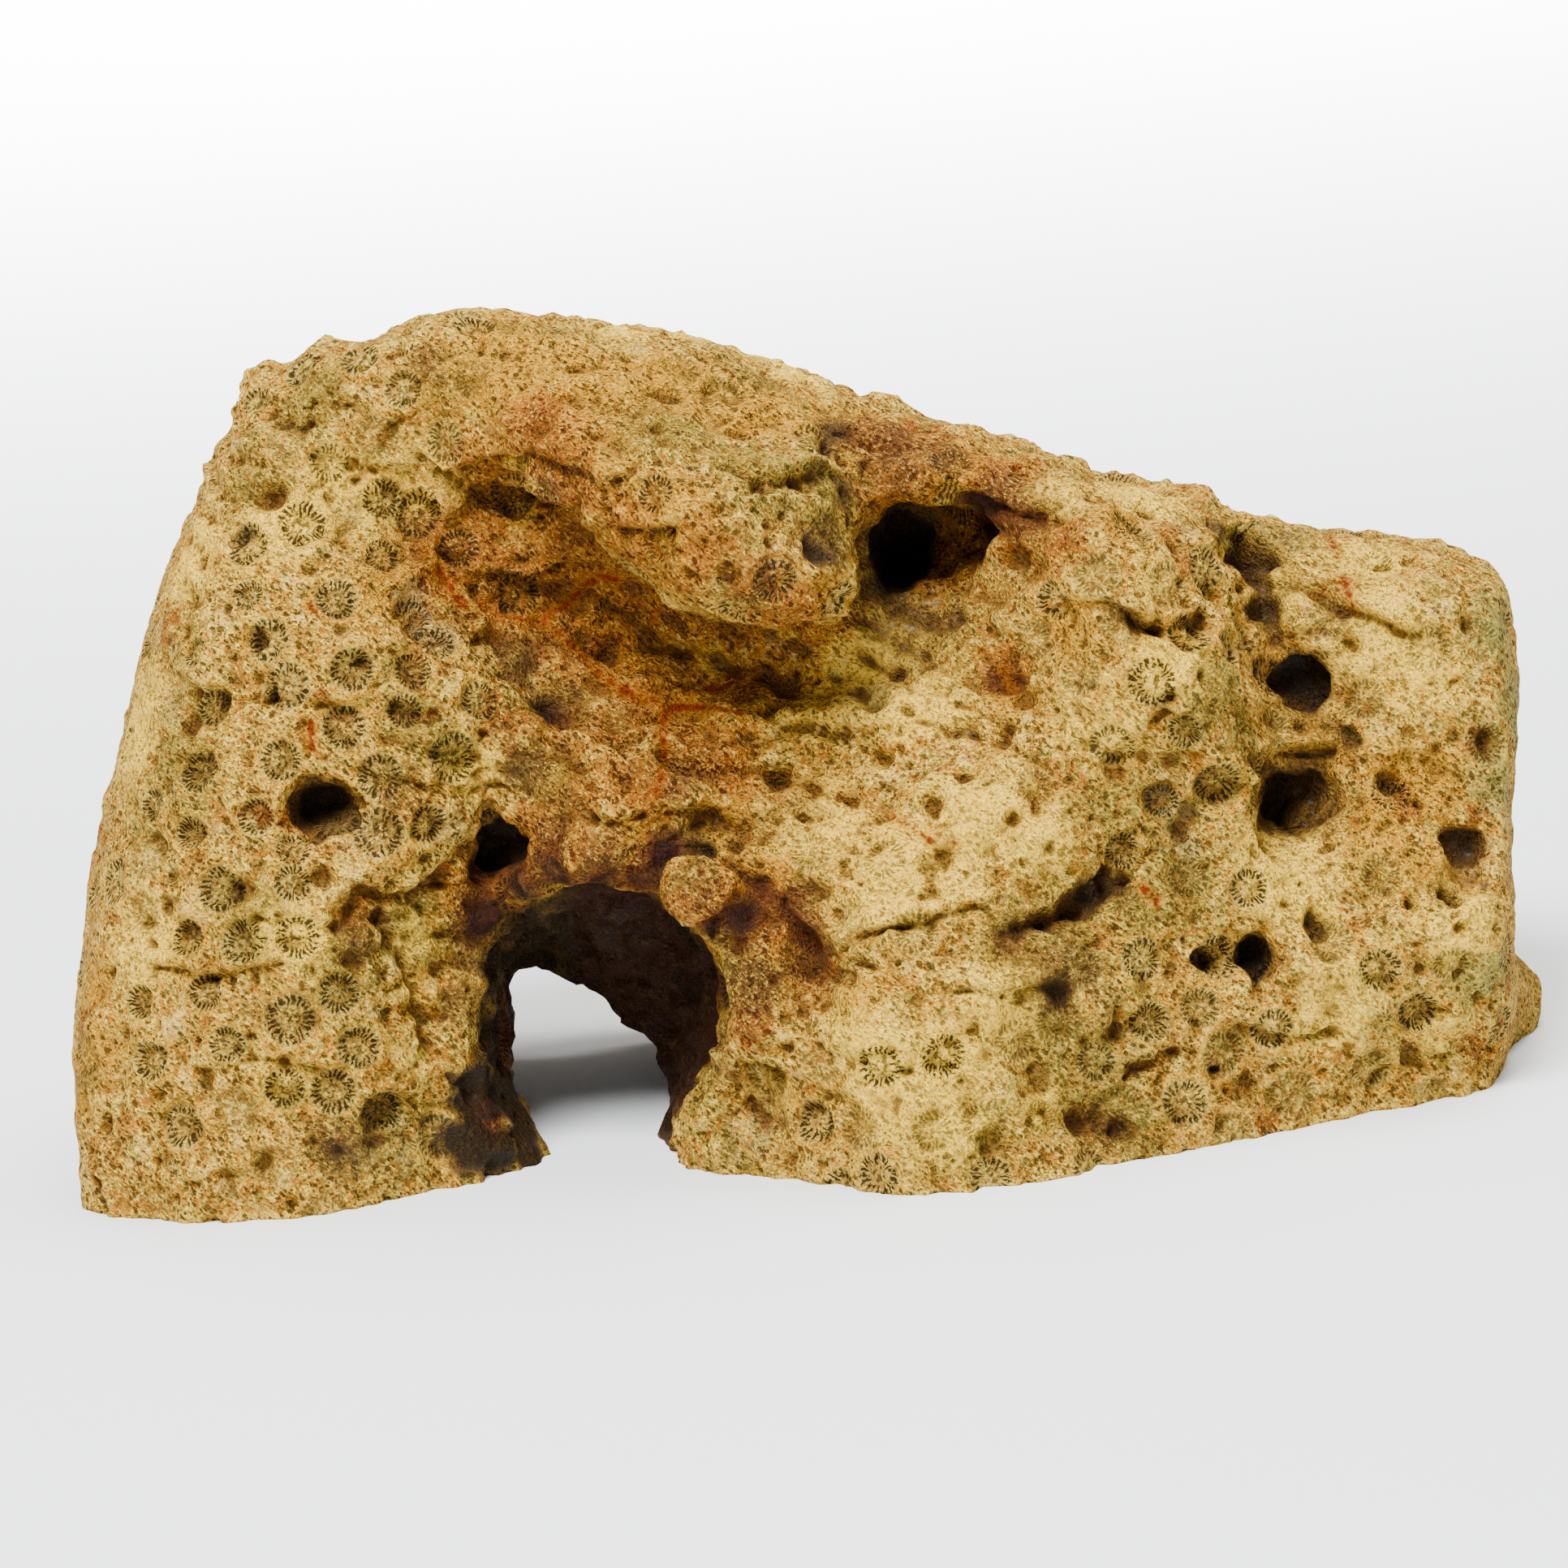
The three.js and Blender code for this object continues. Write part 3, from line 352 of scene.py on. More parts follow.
# Painted shade, where the stone is darkest: round and inside the archway, under the nub, in the
# bores and in other shaded hollows.
SHADE_GROUND = (
    (-19.4, -4.4, 2.4, 0.8), (-16.4, -6.6, 2.6, 1), (-13.4, -6.8, 2.4, 1), (-19, -7.6, 2.4, 0.95),
    (-10.4, -7, 2.2, 0.95), (-9.4, -5.6, 1.6, 0.8), (-3, -9.6, 2.2, 1.1), (0.4, -8.8, 2.2, 0.6),
    (-21.6, -10, 2.3, 1.3), (-21.2, -13.5, 2.4, 1.4), (-20.6, -16.5, 2.4, 1.4),
    (-21, -19, 2.6, 1.6), (-20, -22, 2.6, 1.7), (-19.4, -24.5, 2.4, 1.7), (-18.4, -26.6, 2, 1.6),
    (-22, -22.5, 2.8, 1.8), (-22.4, -26, 2.4, 1.8), (-20.4, -26.4, 2.2, 1.7),
    (-8.6, -4.8, 1.8, 0.9), (-6, -7.6, 2.4, 0.45), (-5.4, -10.2, 1.6, 0.9), (-1.6, -8, 1.6, 0.7),
    (-12.8, -11.4, 2, 0.8), (-17, -8.5, 1.8, 0.8), (-20, -12.6, 2, 0.8), (-20.4, -5, 1.8, 1),
    (-19.5, 1, 1.6, 0.5), (1.5, -10, 2.2, 0.6), (3, -12.5, 2, 0.5), (-2, -18.5, 2.4, 0.5),
    (-6.5, -4.6, 1.6, 0.6), (-4.2, -6, 1.3, 0.6), (7.5, 17, 3), (6.8, 15.5, 3),
    (31.4, 18.6, 1.4, 0.8), (-31.5, -27.3, 2.5, 0.7), (4.1, 20.9, 2, 0.8), (37.5, 7.4, 1.5, 0.3),
    (35.4, 0.4, 1.6, 0.7), (-34.4, -1.2, 1.6), (-38.7, 18.1, 1, 0.8), (49.4, -4.5, 1.4, 0.3),
    (33.4, -12.4, 1.4, 0.5), (15.5, 7.5, 1.2, 0.7), (22.3, -7.9, 1.4, 0.7),
    (19.5, -14.5, 2.6, 0.55), (22.5, -14, 2, 0.45), (4, 25.6, 2.6, 0.75), (8, 25.2, 2.6, 0.6),
    (3, 23.2, 1.8, 0.6), (14.5, 20.4, 2.2, 0.9), (15.2, 18.4, 1.8, 0.8), (17, 19.8, 2.6, 0.6),
    (2.4, 16.4, 2.2, 0.75), (-17, 5, 2, 0.65), (-31, -11.4, 1.8, 0.5), (-19, 9, 2, 0.5),
    (16.4, -12, 2, 0.6), (-4.5, 14.2, 2, 0.5),
)
# Where the painted shade of the hollows is lifted.
SHADE_LIFTED_GROUND = (
    (-9, 10.5, 4), (-5, 9, 4), (-1, 7.5, 4), (3, 6, 4), (5, 4, 4), (1, 4.5, 4), (-26, 22, 5, 0.6),
    (-22.5, 1.3, 3, 0.8), (-26.5, -12, 3, 0.6), (-26.5, -18, 3, 0.6), (-12.4, 12.4, 3, 0.7),
    (-21.3, 14.6, 3, 0.5),
)
# Where the stone is faintly glossy.
DAMP_GROUND = (
    (7, 8, 4), (8, 12, 3), (11, 14, 3), (37, 11, 4), (35, 16, 3), (37, 8, 3), (37, -1.5, 3.5),
    (-31, -4, 2), (-39, 18, 2), (49, -7, 3), (-23, -25, 4), (-22, -21, 4), (-14, -10, 3),
    (13, 3, 2), (-1, 17, 2), (-31, -26, 3), (28, -1, 3), (-27, 12, 2),
)
# The names that the finish reads them by.
STAINS = {
    "rust": RUST_GROUND, "olive": OLIVE_GROUND, "pale": PALE_AND_LIT_GROUND, "amber": AMBER_GROUND,
    "umber_and_shade": UMBER_AND_SHADE_GROUND, "grey": GREY_GROUND, "moss": MOSS_GROUND, "damp": DAMP_GROUND,
}


# ---- reading the surface


def seen_at(tree, across, up):
    """The point of the surface that the camera sees at that place, in millimetres, or None."""
    aim = VIEW_TARGET + RIGHT * (across * MM) + UP * (up * MM)
    place = tree.ray_cast(EYE, (aim - EYE).normalized())[0]
    return None if place is None else np.array(place) / MM


def seen_spots(tree, spots):
    """Each spot's place on the surface, with the rest of its numbers."""
    found = []
    for across, up, *rest in spots:
        place = seen_at(tree, across, up)
        if place is not None:
            found.append((place, rest))
    return found


def traced(tree, points):
    """Places in millimetres along a line on the surface."""
    places = []
    for start, end in zip(points, points[1:]):
        parts = max(2, round(math.dist(start, end) / TRACE_STEP))
        for share in np.linspace(0, 1, parts):
            place = seen_at(tree, *np.array(start) * (1 - share) + np.array(end) * share)
            if place is not None:
                places.append(place)
    return places


def lookup(places):
    """A tree that finds the nearest of the places."""
    near = kdtree.KDTree(len(places))
    for number, place in enumerate(places):
        near.insert(place, number)
    near.balance()
    return near


def gap_to(points, places):
    """How far each point is from the nearest of the places, and which one that is."""
    near = lookup(places)
    found = [near.find(point) for point in points.tolist()]
    return np.array([f[2] for f in found]), np.array([f[1] for f in found])


def away_from(points, place):
    """How far each point is from the one place."""
    return np.sqrt(((points - place) ** 2).sum(1))


def eased(value, low, high):
    """0 up to low, 1 from high, and a smooth step between; low may be the higher one."""
    share = np.clip((value - low) / (high - low), 0, 1)
    return share * share * (3 - 2 * share)


def bell(distance, reach):
    """1 at no distance, fading outwards, to about a third at the reach."""
    return np.exp(-((distance / reach) ** 2))


def rough(points, length, seed, octaves=3, stretch=(1, 1, 1)):
    """Soft random heights of about -1 to 1, with bumps of that length in millimetres."""
    spots = points / (length * np.array(stretch)) + np.array([seed * 17.3, seed * -9.1, seed * 5.7])
    return np.array([noise.fractal(spot, 1, 2, octaves) for spot in spots.tolist()])


def drift(points, length, seed):
    """Soft random sideways shifts of about 1 at most."""
    spots = points / length + np.array([seed * 3.7, seed * -2.3, seed * 7.1])
    return np.array([noise.noise_vector(spot) for spot in spots.tolist()])


def evened(values, links, rounds):
    """Each value averaged with its neighbours', that many times over."""
    flat = values.reshape(len(values), -1).copy()
    counts = 1 + np.bincount(links.ravel(), minlength=len(flat))
    for _ in range(rounds):
        for column in range(flat.shape[1]):
            total = flat[:, column].copy()
            total += np.bincount(links[:, 0], flat[links[:, 1], column], len(flat))
            total += np.bincount(links[:, 1], flat[links[:, 0], column], len(flat))
            flat[:, column] = total / counts
    return flat.reshape(values.shape)


# ---- the block


def placed(name, data):
    """A new object of the scene, with that data."""
    piece = bpy.data.objects.new(name, data)
    bpy.context.scene.collection.objects.link(piece)
    return piece


def as_mesh(draft, name):
    """Turns a working mesh into a lasting one."""
    mesh = bpy.data.meshes.new(name)
    draft.to_mesh(mesh)
    draft.free()
    return mesh


def solid_copy():
    """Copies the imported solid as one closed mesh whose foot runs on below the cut."""
    block = bmesh.new()
    block.from_mesh(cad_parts[NODE].data)
    bmesh.ops.remove_doubles(block, verts=block.verts, dist=0.001 * MM)
    foot = [
        face for face in block.faces
        if face.normal.z < -0.99 and face.calc_center_median().z < 0.1 * MM
    ]
    grown = bmesh.ops.extrude_face_region(block, geom=foot)["geom"]
    bmesh.ops.delete(block, geom=foot, context="FACES_ONLY")
    lowered = [part for part in grown if isinstance(part, bmesh.types.BMVert)]
    bmesh.ops.translate(block, verts=lowered, vec=(0, 0, -SPARE_FOOT))
    return block


def regrained(block, size):
    """The same closed form as an even net of small quads of that size."""
    rough_mesh = as_mesh(block, "block_draft")
    draft = placed("block_draft", rough_mesh)
    net = draft.modifiers.new("net", "REMESH")
    net.mode = "VOXEL"
    net.voxel_size = size
    graph = bpy.context.evaluated_depsgraph_get()
    fine_mesh = bpy.data.meshes.new_from_object(draft.evaluated_get(graph))
    fine = bmesh.new()
    fine.from_mesh(fine_mesh)
    bpy.data.objects.remove(draft)
    bpy.data.meshes.remove(rough_mesh)
    bpy.data.meshes.remove(fine_mesh)
    return fine


def soften(block, rounds):
    """Rounds off the facets."""
    for _ in range(rounds):
        bmesh.ops.smooth_vert(
            block, verts=block.verts, factor=0.5,
            use_axis_x=True, use_axis_y=True, use_axis_z=True,
        )


def refine_front(block):
    """Halves the net wherever the block faces the front."""
    block.normal_update()
    facing = [
        face for face in block.faces
        if face.normal.dot(-LOOK) > FRONT_FACING and face.calc_center_median().z > -0.5 * MM
    ]
    edges = dict.fromkeys(edge for face in facing for edge in face.edges)
    bmesh.ops.subdivide_edges(block, edges=list(edges), cuts=1, use_grid_fill=True)
    soften(block, 2)


def cut_foot(block):
    """Saws the spare off at the floor and closes the cut with an even net."""
    everything = list(block.verts) + list(block.edges) + list(block.faces)
    bmesh.ops.bisect_plane(
        block, geom=everything, dist=TOUCHING,
        plane_co=(0, 0, 0), plane_no=(0, 0, 1), clear_inner=True,
    )
    rim = [edge for edge in block.edges if edge.is_boundary]
    sole = bmesh.ops.holes_fill(block, edges=rim, sides=0)["faces"]
    low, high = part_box(NODE)
    for axis, normal in enumerate((Vector((1, 0, 0)), Vector((0, 1, 0)))):
        for place in np.arange(low[axis] + SOLE_GRID, high[axis], SOLE_GRID):
            parts = dict.fromkeys(sole)
            for face in sole:
                parts.update(dict.fromkeys([*face.edges, *face.verts]))
            made = bmesh.ops.bisect_plane(
                block, geom=list(parts), dist=TOUCHING, plane_co=normal * place, plane_no=normal,
            )["geom"]
            sole = [part for part in made if isinstance(part, bmesh.types.BMFace)]
    bmesh.ops.triangulate(block, faces=block.faces)
    bmesh.ops.recalc_face_normals(block, faces=block.faces)


# ---- the relief


def gather_cups(tree, points, normals, spacing, seed):
    """The cups' centres, facing directions, radii and crispness, in millimetres.

    Those that show on the front come first, and others then fill the rest of the stone.
    """
    dice = random.Random(seed)
    cups = [
        (place, radius, crisp)
        for spots, crisp in SEEN_CUPS
        for place, (radius,) in seen_spots(tree, spots)
    ]
    worn = worn_share(points, tree)
    order = list(range(len(points)))
    dice.shuffle(order)
    taken = np.full((len(cups) + CUP_TRIES, 3), FAR)
    taken[:len(cups)] = [place for place, _, _ in cups]
    for number in order[:CUP_TRIES]:
        place = points[number]
        apart = away_from(taken[:len(cups)], place).min()
        if apart < spacing * (0.88 + 0.3 * (number * JUMP % JUMP_COUNT) / JUMP_COUNT):
            continue
        taken[len(cups)] = place
        radius = spacing * dice.uniform(0.42, 0.52)
        cups.append((place, radius, (0.1 + dice.uniform(0.2, 0.85) ** 2) * (1 - worn[number])))
    places, radii, crispness = map(np.array, zip(*cups))
    return places, normals[gap_to(places, points)[1]], radii, crispness


def worn_share(points, tree):
    """Where the cups are worn away: the named ground on the front, and broad patches elsewhere."""
    away = eased(points[:, 1], *BEHIND_FRONT)
    patches = eased(rough(points, 15, 21, 2), 0.0, 0.35)
    return np.maximum(ground(points, tree, WORN_GROUND), 0.9 * away * patches)


def ground(points, tree, spots):
    """How strongly each point lies in that ground: most in the middle of a spot, then fading."""
    share = np.zeros(len(points))
    for place, (reach, *strength) in seen_spots(tree, spots):
        strength = strength[0] if strength else 1
        share = np.maximum(share, strength * bell(away_from(points, place), reach))
    return share


def nearest_cups(points, cups):
    """For each point the nearest cup by its own radius: its number, its gap and the next one's."""
    places, _, radii, _ = cups
    near = lookup(places)
    found = [near.find_n(point, 4) for point in points.tolist()]
    numbers = np.array([[f[1] for f in four] for four in found])
    gaps = np.array([[f[2] for f in four] for four in found]) / radii[numbers]
    order = np.argsort(gaps, axis=1)
    rows = np.arange(len(points))
    return numbers[rows, order[:, 0]], gaps[rows, order[:, 0]], gaps[rows, order[:, 1]]


def cup_relief(points, cups, depth):
    """Sunken floors, thin raised rims and small central knobs."""
    number, gap, next_gap = nearest_cups(points, cups)
    gap = gap * (1 + 0.22 * rough(points, 2.2, 6, 2))
    crisp = cups[3][number]
    inside = eased(next_gap - gap, 0, 0.3)
    floor = -(1 - eased(gap, 0.5, 0.95)) * inside
    rim = 0.3 * bell(gap - 1.02, 0.14)
    knob = 0.3 * bell(gap, 0.22)
    return depth * crisp * (floor + rim + knob * inside)


def pore_relief(points, spacing, size, seed):
    """Open pores about that far apart: 1 inside the larger ones, 0 between them."""
    spots = points / spacing + seed
    found = np.array([noise.voronoi(spot)[0][0] for spot in spots.tolist()])
    return 1 - eased(found * spacing, size * 0.55, size * 1.25)


def near_lines(points, tree, lines):
    """For each point the gap to the nearest line, the place on it and that line's two sizes."""
    places, sizes = [], []
    for first, second, *line in lines:
        found = traced(tree, line)
        places += found
        sizes += [(first, second)] * len(found)
    gap, which = gap_to(points, places)
    return gap, np.array(places)[which], *np.array(sizes)[which].T


def line_relief(points, tree, lines, sign):
    """Grooves (sign -1) or rims (sign 1) along the lines."""
    gap, _, width, height = near_lines(points, tree, lines)
    uneven = rough(points, 1.6, 9, 2)
    height = height * (1 + 0.9 * uneven)
    return sign * height * bell(gap, width * (1 + 0.5 * uneven))


def ledge_lines(points, tree):
    """Shelves of stone that stand out above each line and are undercut below it."""
    gap, nearest, reach, height = near_lines(points, tree, LEDGES)
    above = ((points - nearest) * np.array(UP)).sum(1)
    shelf = np.clip(1 - gap / reach, 0, 1) ** 1.5 * eased(above, -0.25, 0.25)
    undercut = bell(gap, 0.9) * eased(above, 0.1, -0.4)
    return height * (shelf - 0.7 * undercut)


def swell_relief(points, tree, swells):
    """Broad hollows and mounds."""
    relief = np.zeros(len(points))
    for place, (reach, height) in seen_spots(tree, swells):
        relief += height * bell(away_from(points, place), reach)
    return relief


def pit_relief(points, pits, floor, edge):
    """Steep pits: (place, half width, depth), with their floor and edge in half widths."""
    relief = np.zeros(len(points))
    for place, wide, deep in pits:
        sunk = 1 - eased(away_from(points, place), wide * floor, wide * edge)
        relief = np.minimum(relief, -deep * sunk)
    return relief


def strewn_pits(points, seed):
    """Small bores all over the stone, wider and deeper where the dice say so."""
    dice = random.Random(seed)
    kept = []
    for number in dice.sample(range(len(points)), BORE_TRIES):
        place = points[number]
        if all(math.dist(place, other) > BORE_SPACING for other in kept):
            kept.append(place)
    pits = []
    for place in kept:
        wide = dice.uniform(*BORE_SIZES)
        pits.append((place, wide, wide * dice.uniform(0.5, 1.1)))
    return pits


def ledge_relief(points, seed):
    """Low overlapping scales of stone, as on the worn bridge."""
    warp = rough(points, 9, seed, 2) * 2.2
    level = (points[:, 2] + 0.35 * points[:, 0] + warp) / 2.6
    step = level - np.floor(level)
    return eased(step, 0.0, 0.75) * (1 - eased(step, 0.82, 1.0)) - 0.5


def archway_share(points):
    """1 on the walls and the roof of the archway, fading to 0 at its front and back edges."""
    across = np.abs((points[:, 0] - ARCH_MIDDLE) / ARCH_REACH)
    within = np.exp(-(across ** 8) - (points[:, 2] / ARCH_HEIGHT) ** 8)
    return within * eased(points[:, 1], *ARCH_FRONT) * (1 - eased(points[:, 1], *ARCH_BACK))


def shelter(tree, points, normals, reaches):
    """How shut in each point is: the share of rays from it that meet stone within each reach."""
    turns = []
    for number in range(SHELTER_RAYS):
        height = 0.12 + 0.8 * (number + 0.5) / SHELTER_RAYS
        angle = number * GOLDEN_ANGLE
        side = math.sqrt(1 - height * height)
        turns.append((math.cos(angle) * side, math.sin(angle) * side, height))
    shut = np.full((len(points), SHELTER_RAYS), FAR)
    for number, (point, normal) in enumerate(zip(points.tolist(), normals.tolist())):
        facing = Vector(normal)
        side = facing.orthogonal().normalized()
        other = facing.cross(side)
        start = (Vector(point) + facing * SHELTER_START) * MM
        for ray, (across, along, height) in enumerate(turns):
            way = side * across + other * along + facing * height
            met = tree.ray_cast(start, way, max(reaches) * MM)[3]
            if met is not None:
                shut[number, ray] = met / MM
    return [(shut < reach).mean(1) for reach in reaches]


def relieved(block, settings):
    """Moves the surface by the cups, ledges, pits and roughness, and returns the cups."""
    block.normal_update()
    block.verts.index_update()
    tree = BVHTree.FromBMesh(block)
    points = np.array([vert.co for vert in block.verts]) / MM
    normals = np.array([vert.normal for vert in block.verts])
    links = np.array([[vert.index for vert in edge.verts] for edge in block.edges])
    normals = evened(normals, links, 4)
    normals /= np.linalg.norm(normals, axis=1)[:, None]
    cups = gather_cups(tree, points, normals, settings.cup_spacing / MM, settings.seed)
    worn = worn_share(points, tree)
    patches = eased(rough(points, 9, 5, 2), -0.25, 0.35)
    height = 0.5 * rough(points, 4.2, 1)
    height += 0.32 * rough(points, 1.5, 2)
    height += 0.34 * rough(points, 3.0, 3, 2, (1.6, 1, 0.6)) * worn
    height += 0.6 * ledge_relief(points, 4) * worn
    height -= 0.65 * pore_relief(points, 2.6, 0.62, 3.1) * patches
    height -= 0.38 * pore_relief(points, 1.4, 0.38, 8.7)
    height += cup_relief(points, cups, settings.cup_depth / MM)
    height += line_relief(points, tree, GROOVES, -1)
    height += line_relief(points, tree, RIMS, 1)
    height += ledge_lines(points, tree)
    height += swell_relief(points, tree, SWELLS)
    pits = [(place, *sizes) for place, sizes in seen_spots(tree, PITS)]
    height += pit_relief(points, pits, 0.55, 1.35)
    height += pit_relief(points, strewn_pits(points, settings.seed + 1), 0.4, 1.3)
    ends = eased(np.abs(normals[:, 0]), 0.6, 0.9) * eased(np.abs(points[:, 0]), *FLAT_ENDS)
    free = (1 - 0.6 * ends)[:, None]
    moved = points + normals * free * np.clip(height, DEEPEST, HIGHEST)[:, None]
    moved -= swell_relief(points, tree, LUMPS)[:, None] * np.array(LOOK)
    moved += free * (0.5 * drift(points, 3.4, 11) + 0.22 * drift(points, 1.4, 12))
    for vert, place in zip(block.verts, moved.tolist()):
        vert.co = Vector(place) * MM
    return cups


# ---- what the finish reads


def write_values(mesh, name, values):
    """Keeps one number for each vertex on the mesh."""
    layer = mesh.attributes.new(name, "FLOAT", "POINT")
    layer.data.foreach_set("value", values.astype(np.float32))


def write_cup_plan(mesh, points, triangles, cups):
    """For each corner of each triangle its place in its cup, in radii, and the cup's crispness."""
    places, facings, radii, crispness = cups
    middles = points[triangles].mean(1)
    number, _, _ = nearest_cups(middles, cups)
    facing = facings[number]
    pole = np.where(np.abs(facing[:, 2:3]) < 0.9, [[0, 0, 1]], [[1, 0, 0]])
    side = np.cross(facing, pole)
    side /= np.linalg.norm(side, axis=1)[:, None]
    other = np.cross(facing, side)
    turn = (number * GOLDEN_ANGLE)[:, None]
    first = side * np.cos(turn) + other * np.sin(turn)
    second = other * np.cos(turn) - side * np.sin(turn)
    plan = np.zeros((len(triangles), 3, 3))
    for corner in range(3):
        offset = (points[triangles[:, corner]] - places[number]) / radii[number][:, None]
        plan[:, corner, 0] = (offset * first).sum(1)
        plan[:, corner, 1] = (offset * second).sum(1)
        plan[:, corner, 2] = crispness[number]
    layer = mesh.attributes.new("cup_plan", "FLOAT_VECTOR", "CORNER")
    layer.data.foreach_set("vector", plan.astype(np.float32).ravel())


def read_rows(parts, name, width, kind):
    """The named numbers of each vertex, edge or face, a row for each."""
    rows = np.empty(len(parts) * width, kind)
    parts.foreach_get(name, rows)
    return rows.reshape(-1, width)


def write_finish_values(mesh, cups):
    """Stains, painted light and shade, shelter and cup places, as attributes of the finished mesh.
    """
    points = read_rows(mesh.vertices, "co", 3, np.float32).astype(float) / MM
    normals = read_rows(mesh.vertices, "normal", 3, np.float32).astype(float)
    triangles = read_rows(mesh.polygons, "vertices", 3, np.int32)
    links = read_rows(mesh.edges, "vertices", 2, np.int32)
    write_cup_plan(mesh, points, triangles, cups)
    skin = BVHTree.FromPolygons((points * MM).tolist(), triangles.tolist())
    for name, spots in STAINS.items():
        write_values(mesh, name, ground(points, skin, spots))
    # The archway's walls and roof are darkened: the stone's own dark lining there, deepened by
    # painted shade, reddish towards the right wall.
    archway = archway_share(points)
    on_right = eased(points[:, 0], *ARCH_LEFT_TO_RIGHT)
    write_values(mesh, "archway", archway * on_right)
    shade = np.maximum(ground(points, skin, SHADE_GROUND), archway * (0.6 + 0.25 * on_right))
    write_values(mesh, "shade", shade)
    vein_places = [place for line in VEINS for place in traced(skin, line)]
    write_values(mesh, "vein_gap", gap_to(points, vein_places)[0])
    # Shelter from nearby stone, weakened where the painted shade is lifted, and the crest drive the
    # painted shade in hollows and the painted highlights on ridges.
    near, wide = shelter(skin, points, normals, (NOOK_REACH, CAVE_REACH))
    shade_kept = 1 - 0.8 * ground(points, skin, SHADE_LIFTED_GROUND)
    write_values(mesh, "nook", evened(near, links, 1) * shade_kept)
    write_values(mesh, "cave", evened(wide, links, 2) * shade_kept)
    smooth = evened(points, links, 9)
    write_values(mesh, "crest", ((points - smooth) * normals).sum(1))


# ---- the finish


class Value:
    """What a shader node gives out, with the usual arithmetic for numbers."""

    def __init__(self, nodes, node, out):
        self.nodes = nodes
        self.node = node
        self.socket = node.outputs[out]

    def beside(self, out):
        """Another output of the same node."""
        return Value(self.nodes, self.node, out)

    def math(self, operation, *others, clamp=False):
        """The value worked on by the operation, together with the others."""
        inputs = dict(enumerate((self, *others)))
        return self.nodes.add("ShaderNodeMath", inputs, operation=operation, use_clamp=clamp)

    def __add__(self, other):
        return self.math("ADD", other)

    def __sub__(self, other):
        return self.math("SUBTRACT", other)

    def __mul__(self, other):
        return self.math("MULTIPLY", other)

    def scaled(self, factor, more):
        """The value times the factor, with more added."""
        return self.math("MULTIPLY_ADD", factor, more)

    def larger(self, other):
        return self.math("MAXIMUM", other)

    def step(self, low, high):
        """0 up to low, 1 from high, and a smooth step between; low may be the higher one."""
        ends = (low, high, 0, 1) if low < high else (high, low, 1, 0)
        inputs = {"Value": self, **dict(zip(("From Min", "From Max", "To Min", "To Max"), ends))}
        smooth = {"interpolation_type": "SMOOTHSTEP"}
        return self.nodes.add("ShaderNodeMapRange", inputs, "Result", **smooth)


class Nodes:
    """Short ways to add shader nodes and join them."""

    def __init__(self, material):
        material.use_nodes = True
        self.tree = material.node_tree
        self.shader = self.tree.nodes["Principled BSDF"]
        self.places = self.add("ShaderNodeTexCoord", {}, "Object")

    def feed(self, node, inputs):
        """Joins each of the node's inputs to a value, or sets it to a plain number or colour."""
        for name, value in inputs.items():
            if isinstance(value, Value):
                self.tree.links.new(value.socket, node.inputs[name])
            else:
                node.inputs[name].default_value = value

    def add(self, kind, inputs, out=0, **settings):
        """An output of a new node with those inputs and settings."""
        node = self.tree.nodes.new(kind)
        for name, value in settings.items():
            setattr(node, name, value)
        self.feed(node, inputs)
        return Value(self, node, out)

    def paint(self, share, first, second):
        """The first colour turning to the second by the share."""
        return self.add("ShaderNodeMix", {0: share, 6: first, 7: second}, 2, data_type="RGBA")

    def tint(self, colour, share, most, code):
        """The colour turned to the coded one by the share, and by no more than most."""
        return self.paint(share * most, colour, shade_of(code))

    def tints(self, colour, rows):
        """The colour tinted where each row's value steps from low to high."""
        for value, low, high, most, code in rows:
            colour = self.tint(colour, value.step(low, high), most, code)
        return colour

    def value(self, name, out="Fac"):
        """What the mesh keeps under that name."""
        return self.add("ShaderNodeAttribute", {}, out, attribute_name=name)

    def grain(self, long, short, lean=LEVEL, place=0):
        """Object coordinates counted in grains of that size in millimetres, along leaning axes."""
        inputs = {
            "Vector": self.places, "Location": (place, 0, 0), "Rotation": lean,
            "Scale": (long * MM, short * MM, short * MM),
        }
        return self.add("ShaderNodeMapping", inputs, vector_type="TEXTURE")

    def noise(self, long, short, detail, roughness=0.5, lean=LEVEL, place=0):
        """Soft noise of about 0.2 to 0.8 in grains of that size."""
        vector = self.grain(long, short, lean, place)
        inputs = {"Vector": vector, "Scale": 1, "Detail": detail, "Roughness": roughness}
        return self.add("ShaderNodeTexNoise", inputs)


def shade_of(code):
    """A colour from its six-digit screen code, as the shader wants it."""
    parts = [int(code[place:place + 2], 16) / 255 for place in (0, 2, 4)]
    return [part / 12.92 if part <= 0.04045 else ((part + 0.055) / 1.055) ** 2.4
            for part in parts] + [1]


